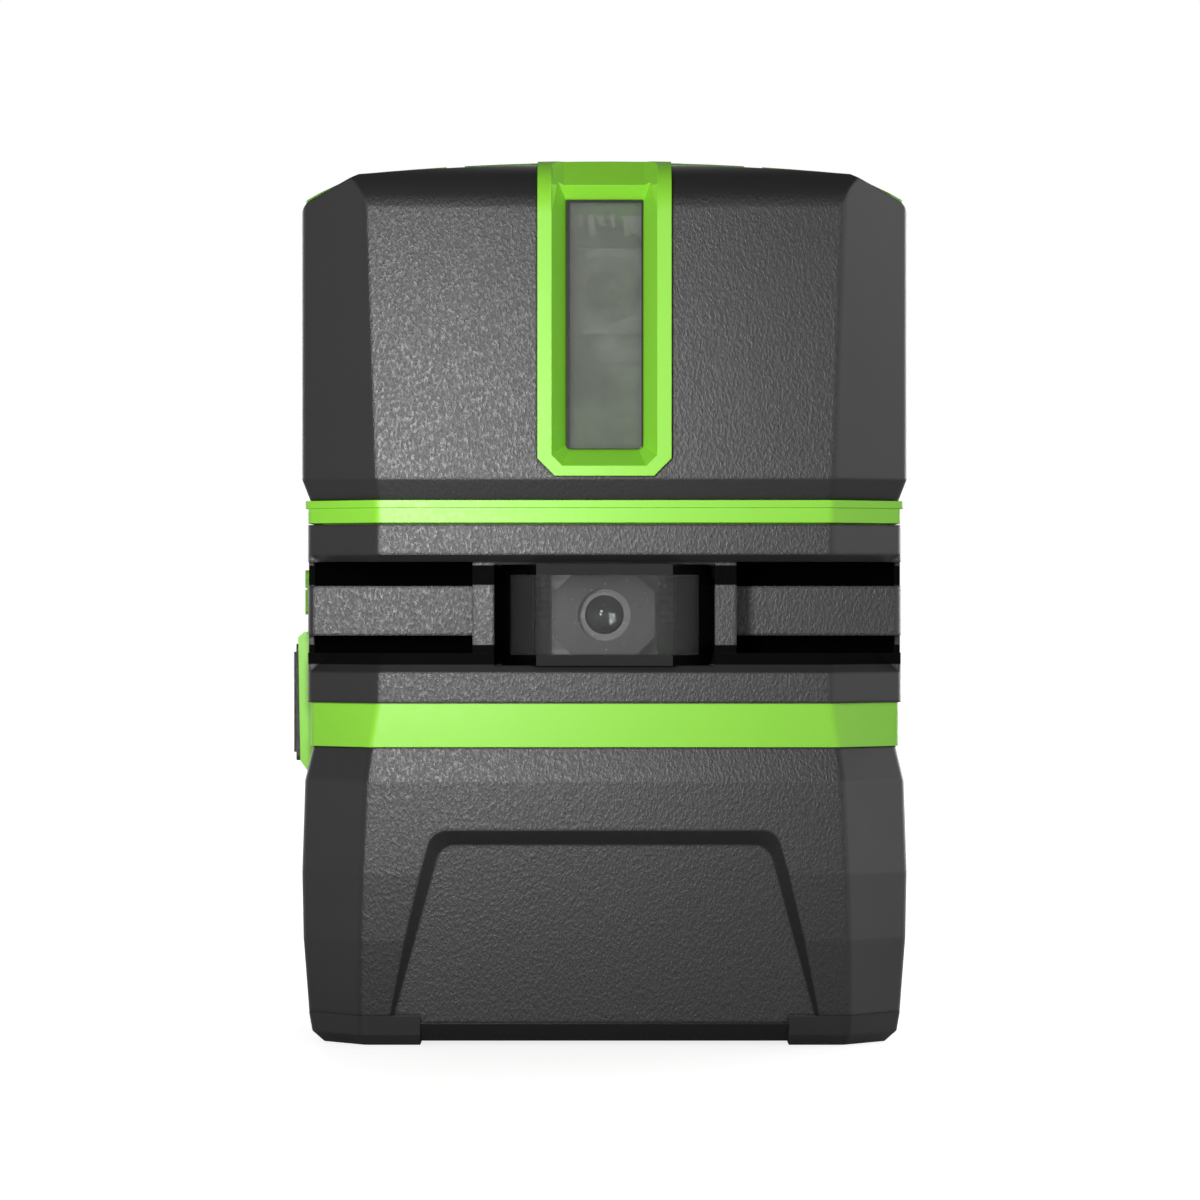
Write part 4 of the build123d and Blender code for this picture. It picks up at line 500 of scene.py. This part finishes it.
def signed_volume(points, faces):
    """Six times the volume inside the faces: corner dotted with the cross of the next two, added up."""
    quads = np.array([f for f in faces if len(f) == 4], dtype=int).reshape(-1, 4)
    fans = np.array([f for f in faces if len(f) == 3], dtype=int).reshape(-1, 3)
    corners = np.concatenate([quads[:, [0, 1, 2]], quads[:, [0, 2, 3]], fans])
    a, b, c = points[corners[:, 0]], points[corners[:, 1]], points[corners[:, 2]]
    return float(np.sum(a * np.cross(b, c)))


def place_piece(name, points, faces, finish, body, smooth=True):
    """Put a closed mesh, turned so that its faces point outwards, on its body with its finish."""
    if signed_volume(points, faces) < 0:
        faces = [tuple(reversed(f)) for f in faces]
    mesh = bpy.data.meshes.new(name)
    mesh.from_pydata(points.tolist(), [], faces)
    mesh.polygons.foreach_set("use_smooth", [smooth] * len(mesh.polygons))
    mesh.materials.append(finish)
    piece = bpy.data.objects.new(name, mesh)
    bpy.context.scene.collection.objects.link(piece)
    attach(piece, body)
    return piece


def grid_faces(rows, cols, wrap_rows):
    """Quads between neighbours of a grid whose columns close on themselves."""
    row = np.arange(rows if wrap_rows else rows - 1)[:, None]
    col = np.arange(cols)[None, :]
    next_row = (row + 1) % rows
    next_col = (col + 1) % cols
    quads = [row * cols + col, row * cols + next_col, next_row * cols + next_col, next_row * cols + col]
    return np.stack(quads, -1).reshape(-1, 4).tolist()


def capped_grid(points):
    """Points and faces of a grid closed at both ends by fans round the middle of its end rows."""
    rows, cols = points.shape[:2]
    flat = points.reshape(-1, 3)
    flat = np.concatenate([flat, [points[0].mean(0)], [points[-1].mean(0)]])
    here = np.arange(cols)
    after = np.roll(here, -1)
    first, last = rows * cols, rows * cols + 1
    start = np.stack([np.full(cols, first), after, here], -1).tolist()
    end_row = (rows - 1) * cols
    end = np.stack([np.full(cols, last), end_row + here, end_row + after], -1).tolist()
    return flat, grid_faces(rows, cols, False) + start + end


def turned_angles(turns):
    """Evenly spaced angles round a full turn."""
    return np.linspace(0.0, FULL_TURN, turns, endpoint=False)


def threaded_insert():
    """Brass tripod insert as one turned surface: path (r, z) from the bore's floor out of its mouth,
    over the rim and up the knurled side. In the bore r = minor + depth times a triangle wave of
    (z / pitch - angle / full turn), and the knurl adds a small wave of the angle to the side."""
    low, high = (np.array(c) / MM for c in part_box("tripod_insert"))
    middle = (low + high) / 2
    outer = (high[0] - low[0]) / 2
    minor, depth, pitch = 2.55, 0.55, 1.27
    knurl_depth, knurl_count, chamfer = 0.12, 36, 0.3
    floor_z = high[2] - 1.0
    bore_z = np.linspace(floor_z, low[2], 90)
    side_z = np.linspace(low[2] + chamfer, high[2] - chamfer, 14)
    floor_r, bore_r = [0.6, 1.8], np.full(bore_z.size, minor)
    rim_r, side_r, top_r = [outer - chamfer], np.full(side_z.size, outer), [outer - chamfer, 1.5]
    path_r = np.concatenate([floor_r, bore_r, rim_r, side_r, top_r])
    path_z = np.concatenate([[floor_z, floor_z], bore_z, [low[2]], side_z, [high[2], high[2]]])
    angle = turned_angles(72)
    phase = (path_z[:, None] / pitch - angle[None, :] / FULL_TURN) % 1.0
    wave = 1.0 - np.abs(2.0 * phase - 1.0)
    bore_from = len(floor_r)
    side_from = bore_from + bore_z.size + len(rim_r)
    runs_out = np.clip((floor_z - bore_z) / 0.6, 0, 1) * np.clip((bore_z - low[2]) / 0.3, 0, 1)
    in_bore = np.zeros(path_r.size)
    in_bore[bore_from : bore_from + bore_z.size] = runs_out
    on_side = np.zeros(path_r.size)
    on_side[side_from : side_from + side_z.size] = 1.0
    knurl = knurl_depth * (0.5 + 0.5 * np.cos(angle * knurl_count))
    radius = path_r[:, None] + depth * wave * in_bore[:, None] - on_side[:, None] * knurl[None, :]
    x = middle[0] + radius * np.cos(angle)
    y = middle[1] + radius * np.sin(angle)
    z = np.broadcast_to(path_z[:, None], radius.shape)
    flat, faces = capped_grid(np.stack([x, y, z], -1) * MM)
    piece = place_piece("threaded_insert", flat, faces, BRASS, "housing", smooth=False)
    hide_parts("tripod_insert")


def window_bead_and_edge_shade():
    """Black bead round the tall glass, partly a sealing bead and partly painted shade of the glass's thick
    edge:
    a four-sided section carried round the opening, mitred at the corners, wider at the left and the top to
    carry that shade."""
    seat = 1.2 * MM
    left, right = GLASS_LOW.x + seat, GLASS_HIGH.x - seat
    bottom, top = GLASS_LOW.z + seat, GLASS_HIGH.z - seat
    wide, narrow, head, foot = 0.42 * MM, 0.12 * MM, 0.3 * MM, 0.05 * MM
    outer = np.array([(left, bottom), (right, bottom), (right, top), (left, top)])
    step = np.array([(wide, foot), (-narrow, foot), (-narrow, -head), (wide, -head)])
    inner = outer + step
    front, back = GLASS_LOW.y - 0.4 * MM, GLASS_LOW.y - 0.02 * MM
    loops = [(outer, front), (inner, front), (inner, back), (outer, back)]
    rings = np.stack([np.stack([p[:, 0], np.full(4, y), p[:, 1]], -1) for p, y in loops])
    points, faces = rings.reshape(-1, 3), grid_faces(4, 4, True)
    place_piece("window_bead_and_edge_shade", points, faces, SEAL_AND_SHADE_BLACK, "housing", smooth=False)


def ribbon(path, half_width, thickness):
    """A strip carried along a path in the YZ plane: four corners at each point, closed at both ends."""
    way = np.gradient(path[:, 1:], axis=0)
    way /= np.linalg.norm(way, axis=1)[:, None]
    lift = np.stack([np.zeros(len(path)), -way[:, 1], way[:, 0]], -1) * thickness / 2
    side = np.array([half_width, 0.0, 0.0])
    return np.stack([path - side - lift, path + side - lift, path + side + lift, path - side + lift], 1)


def key_board_glint_leads():
    """Leads behind the head of the tall window, coloured white as a painted glint of bright metal: ribbons
    that drop from the key board and curve forward, forward reach growing with the square of the drop."""
    head_y = GLASS_HIGH.y + 1.0 * MM
    head_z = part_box("key_board")[0].z + 2.0 * MM
    bow, drift, thickness = 0.9 * MM, 0.25 * MM, 0.18 * MM
    starts = np.array([-3.9, -3.1, -1.6, -0.5, 0.9, 2.6, 3.4, 4.1]) * MM
    lengths = np.array([1.6, 1.3, 2.4, 1.2, 1.4, 2.5, 2.2, 2.6]) * MM
    widths = np.array([0.38, 0.28, 0.40, 0.42, 0.30, 0.34, 0.42, 0.30]) * MM
    share = np.linspace(0.0, 1.0, 9)
    all_points, all_faces = [], []
    for x, length, half in zip(starts, lengths, widths):
        path = np.stack([x + drift * share**2, head_y + bow * (1 - share**2), head_z - share * length], -1)
        points, faces = capped_grid(ribbon(path, half, thickness))
        offset = sum(len(p) for p in all_points)
        all_points.append(points)
        all_faces += [tuple(int(i) + offset for i in f) for f in faces]
    joined = np.concatenate(all_points)
    place_piece("key_board_glint_leads", joined, all_faces, WHITE_GLINT, "housing", smooth=False)


def lint(name, x_range, z_range, y, count, seed):
    """Fine lint inside a window: small flakes scattered over a rectangle, each a squashed octahedron,
    one in five of them drawn out to four times its length."""
    dice = np.random.default_rng(seed)
    middle = np.stack([dice.uniform(*x_range, count), np.full(count, y), dice.uniform(*z_range, count)], -1)
    size = dice.uniform(0.035, 0.09, count)[:, None] * MM
    stretch = 1.0 + 3.0 * (dice.random(count) > 0.8)[:, None]
    turn = dice.uniform(0, math.pi, count)[:, None]
    flat = 0.25
    tips = [(1, 0, 0), (-1, 0, 0), (0, flat, 0), (0, -flat, 0), (0, 0, 1), (0, 0, -1)]
    local = np.array(tips, dtype=float)[None] * size[:, None]
    local[:, :, 0] *= stretch
    x = local[:, :, 0] * np.cos(turn) - local[:, :, 2] * np.sin(turn)
    z = local[:, :, 0] * np.sin(turn) + local[:, :, 2] * np.cos(turn)
    points = middle[:, None, :] + np.stack([x, local[:, :, 1], z], -1)
    upper = [(0, 2, 4), (2, 1, 4), (1, 3, 4), (3, 0, 4)]
    lower = [(2, 0, 5), (1, 2, 5), (3, 1, 5), (0, 3, 5)]
    faces = (np.arange(count)[:, None, None] * len(tips) + np.array(upper + lower)[None]).reshape(-1, 3)
    place_piece(name, points.reshape(-1, 3), faces.tolist(), LINT, "housing")


def window_lint():
    """Lint low behind the tall glass and just inside the bay's front."""
    gap = 0.12 * MM
    across = (GLASS_LOW.x + 2.0 * MM, GLASS_HIGH.x - 2.0 * MM)
    up = (GLASS_LOW.z + 1.6 * MM, GLASS_LOW.z + 11 * MM)
    lint("tall_window_lint", across, up, GLASS_HIGH.y + gap, 34, 3)
    across = (-6.6 * MM, 6.6 * MM)
    up = (BAY_LOW.z + 1.8 * MM, BAY_HIGH.z - 1.8 * MM)
    lint("bay_window_lint", across, up, BAY_LOW.y + BAY_WALL + gap, 46, 5)


def bay_shade_baffles():
    """Two dark plates just inside the slanted sides of the bay window, put there as painted shade that
    darkens those sides: rows of four corners carried from the inner end of each plan line to its outer end,
    the left one mirrored from the right."""
    bottom, top = BAY_LOW.z + 1.5 * MM, BAY_HIGH.z - 1.5 * MM
    share = np.linspace(0.0, 1.0, 6)[:, None]
    inner = np.array([8.6, -29.3]) * MM
    outer = np.array([12.4, -25.5]) * MM
    line = inner + share * (outer - inner)
    inward = np.array([-1.0, 1.0]) / math.sqrt(2.0) * 0.3 * MM
    corners = [(line, bottom), (line + inward, bottom), (line + inward, top), (line, top)]
    right = np.stack([np.stack([p[:, 0], p[:, 1], np.full(6, z)], -1) for p, z in corners], 1)
    left = right * np.array([-1.0, 1.0, 1.0])
    for name, rows in (("right_bay_shade_baffle", right), ("left_bay_shade_baffle", left)):
        flat, faces = capped_grid(rows)
        place_piece(name, flat, faces, BAFFLE_SHADE_BLACK, "housing", smooth=False)


def socket_tongue():
    """Contact tongue in the charging socket: a rounded slab, section a superellipse of power four,
    carried inwards from just behind the mouth, with its end drawn in."""
    low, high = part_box("charging_socket")
    middle = (low + high) / 2
    half_y = (high.y - low.y) / 2 - 1.3 * MM
    half_z = 0.35 * MM
    along = np.linspace(0.0, 1.0, 14)
    draw = np.clip(np.sqrt(np.clip(along / 0.12, 0, 1)), 0.5, 1.0)[:, None]
    angle = turned_angles(40)
    wide = np.sign(np.cos(angle)) * np.sqrt(np.abs(np.cos(angle)))
    tall = np.sign(np.sin(angle)) * np.sqrt(np.abs(np.sin(angle)))
    x = low.x + 0.8 * MM + along * (high.x - low.x - 1.2 * MM)
    y = middle.y + draw * half_y * wide[None, :]
    z = middle.z + draw * half_z * tall[None, :]
    flat, faces = capped_grid(np.stack([np.broadcast_to(x[:, None], y.shape), y, z], -1))
    place_piece("socket_tongue", flat, faces, CHIP, "housing")


def lens_dome(name, node, body):
    """Bulged front of a line lens: height falls with the square of the radius, closed by a flat back."""
    low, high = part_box(node)
    middle = (low + high) / 2
    sink, crown, back = 0.05 * MM, 0.8 * MM, 0.15 * MM
    reach = (high.x - low.x) / 2 - sink
    front = np.linspace(0.06, 1.0, 12)
    share = np.concatenate([front, [0.97, 0.5]])[:, None]
    bulge = np.concatenate([crown * (1 - front**2), [-back, -back]])[:, None]
    angle = turned_angles(48)[None, :]
    x = middle.x + reach * share * np.cos(angle)
    z = middle.z + reach * share * np.sin(angle)
    y = np.broadcast_to(low.y - sink - bulge, x.shape)
    flat, faces = capped_grid(np.stack([x, y, z], -1))
    place_piece(name, flat, faces, LENS_GLASS, body)


threaded_insert()
window_bead_and_edge_shade()
key_board_glint_leads()
window_lint()
bay_shade_baffles()
socket_tongue()
lens_dome("upper_lens_dome", "upper_line_lens", "pendulum")
lens_dome("lower_lens_dome", "lower_line_lens", "pendulum")


# ---- Stage: camera, light, floor ------------------------------------------------------

CAMERA_DISTANCE = 0.650
VIEW_WIDTH = 0.144
SENSOR_MM = 36.0
CAMERA_X = -0.00054
CAMERA_Z = 0.0536

BEHIND_FROM = 0.25
BEHIND_TO = 0.8
SIDE_GLOW = 0.48
BACK_GLOW = 2.6
ABOVE_FROM = -0.05
ABOVE_TO = 0.6
ABOVE_SHARE = 0.08
RIGHT_GAIN = 3.0
LEFT_GAIN = 1.1

FLOOR_RADIUS = 3.0
FLOOR_GREY = (0.82, 0.82, 0.82, 1.0)
FLOOR_GLOW = 0.82

KEY_X = -0.030
KEY_Z = 0.070
KEY_Y = -0.135
KEY_SIZE = (0.024, 0.05)
KEY_POWER = 0.10


def add_camera():
    """Camera level with the slot, square to the front."""
    data = bpy.data.cameras.new("camera")
    data.sensor_width = SENSOR_MM
    data.lens = SENSOR_MM * CAMERA_DISTANCE / VIEW_WIDTH
    data.clip_start = 0.01
    data.clip_end = 20.0
    camera = bpy.data.objects.new("camera", data)
    camera.location = (CAMERA_X, FRONT_Y - CAMERA_DISTANCE, CAMERA_Z)
    camera.rotation_euler = (math.pi / 2, 0.0, 0.0)
    bpy.context.scene.collection.objects.link(camera)
    bpy.context.scene.camera = camera


def add_area_light(name, place, target, size, power):
    """A rectangular soft box aimed at a point."""
    data = bpy.data.lights.new(name, "AREA")
    data.shape = "RECTANGLE"
    data.size = size[0]
    data.size_y = size[1]
    data.energy = power
    light = bpy.data.objects.new(name, data)
    light.visible_camera = False
    light.location = place
    way = np.array(target) - np.array(place)
    flat = math.hypot(way[0], way[1])
    light.rotation_euler = (math.pi / 2 + math.atan2(way[2], flat), 0.0, math.atan2(-way[0], way[1]))
    bpy.context.scene.collection.objects.link(light)
    return light


def add_floor():
    """Pale round floor: rings of a disc, radius times cosine and sine of the turn angle."""
    turns = 96
    radius = np.linspace(0.0, FLOOR_RADIUS, 13)[1:, None]
    angle = turned_angles(turns)[None, :]
    x = radius * np.cos(angle)
    y = radius * np.sin(angle)
    points = np.stack([x, y, np.zeros_like(x)], -1).reshape(-1, 3)
    points = np.concatenate([[[0.0, 0.0, 0.0]], points])
    here = np.arange(turns)
    after = np.roll(here, -1)
    start = 1 + turns * np.arange(radius.size - 1)[:, None]
    quads = np.stack([start + here, start + turns + here, start + turns + after, start + after], -1)
    fan = np.stack([np.zeros_like(here), 1 + here, 1 + after], -1)
    mesh = bpy.data.meshes.new("floor")
    mesh.from_pydata(points.tolist(), [], fan.tolist() + quads.reshape(-1, 4).tolist())
    floor = bpy.data.objects.new("floor", mesh)
    made, hand, shader = material("pale_floor")
    shader.inputs["Base Color"].default_value = FLOOR_GREY
    shader.inputs["Roughness"].default_value = 0.8
    shader.inputs["Specular IOR Level"].default_value = 0.1
    shader.inputs["Emission Color"].default_value = (1.0, 1.0, 1.0, 1.0)
    seen = hand.add("LightPath")
    glow = hand.math("MULTIPLY", seen.outputs["Is Camera Ray"], FLOOR_GLOW)
    hand.put(shader.inputs["Emission Strength"], glow)
    mesh.materials.append(made)
    bpy.context.scene.collection.objects.link(floor)
    return floor


def light_world():
    """Pale studio all round: white to look at, brightest behind, dim above, and brighter at the
    right than at the left."""
    world = bpy.data.worlds.new("studio")
    world.use_nodes = True
    hand = Nodes(world.node_tree)
    way = hand.add("TexCoord").outputs["Generated"]
    parts = hand.add("SeparateXYZ", {"Vector": way})
    behind = hand.ramp(parts.outputs["Y"], BEHIND_FROM, BEHIND_TO, SIDE_GLOW, BACK_GLOW)
    above = hand.ramp(parts.outputs["Z"], ABOVE_FROM, ABOVE_TO, 1.0, ABOVE_SHARE)
    sideways = hand.ramp(parts.outputs["X"], -0.8, 0.8, LEFT_GAIN, RIGHT_GAIN)
    lit = hand.math("MULTIPLY", hand.math("MULTIPLY", behind, above), sideways)
    seen = hand.add("LightPath")
    views = {"Factor": seen.outputs["Is Camera Ray"], "A": lit, "B": 1.0}
    strength = hand.add("Mix", views, data_type="FLOAT")
    background = world.node_tree.nodes["Background"]
    background.inputs["Color"].default_value = (1.0, 1.0, 1.0, 1.0)
    hand.put(background.inputs["Strength"], strength)
    bpy.context.scene.world = world


def keep_off(light, pieces):
    """This light doesn't shine on these pieces, so it leaves no hot spot in the glass."""
    group = bpy.data.collections.new(light.name + "_off")
    for piece in pieces:
        group.objects.link(piece)
    for row in group.collection_objects:
        row.light_linking.link_state = "EXCLUDE"
    light.light_linking.receiver_collection = group


add_camera()
FLOOR = add_floor()
light_world()
KEY = add_area_light("key", (KEY_X, KEY_Y, KEY_Z), (KEY_X, 0.0, KEY_Z), KEY_SIZE, KEY_POWER)
keep_off(KEY, [FLOOR, NODES["tall_window"], NODES["bay_window"]])
bpy.context.scene.view_settings.view_transform = "Standard"
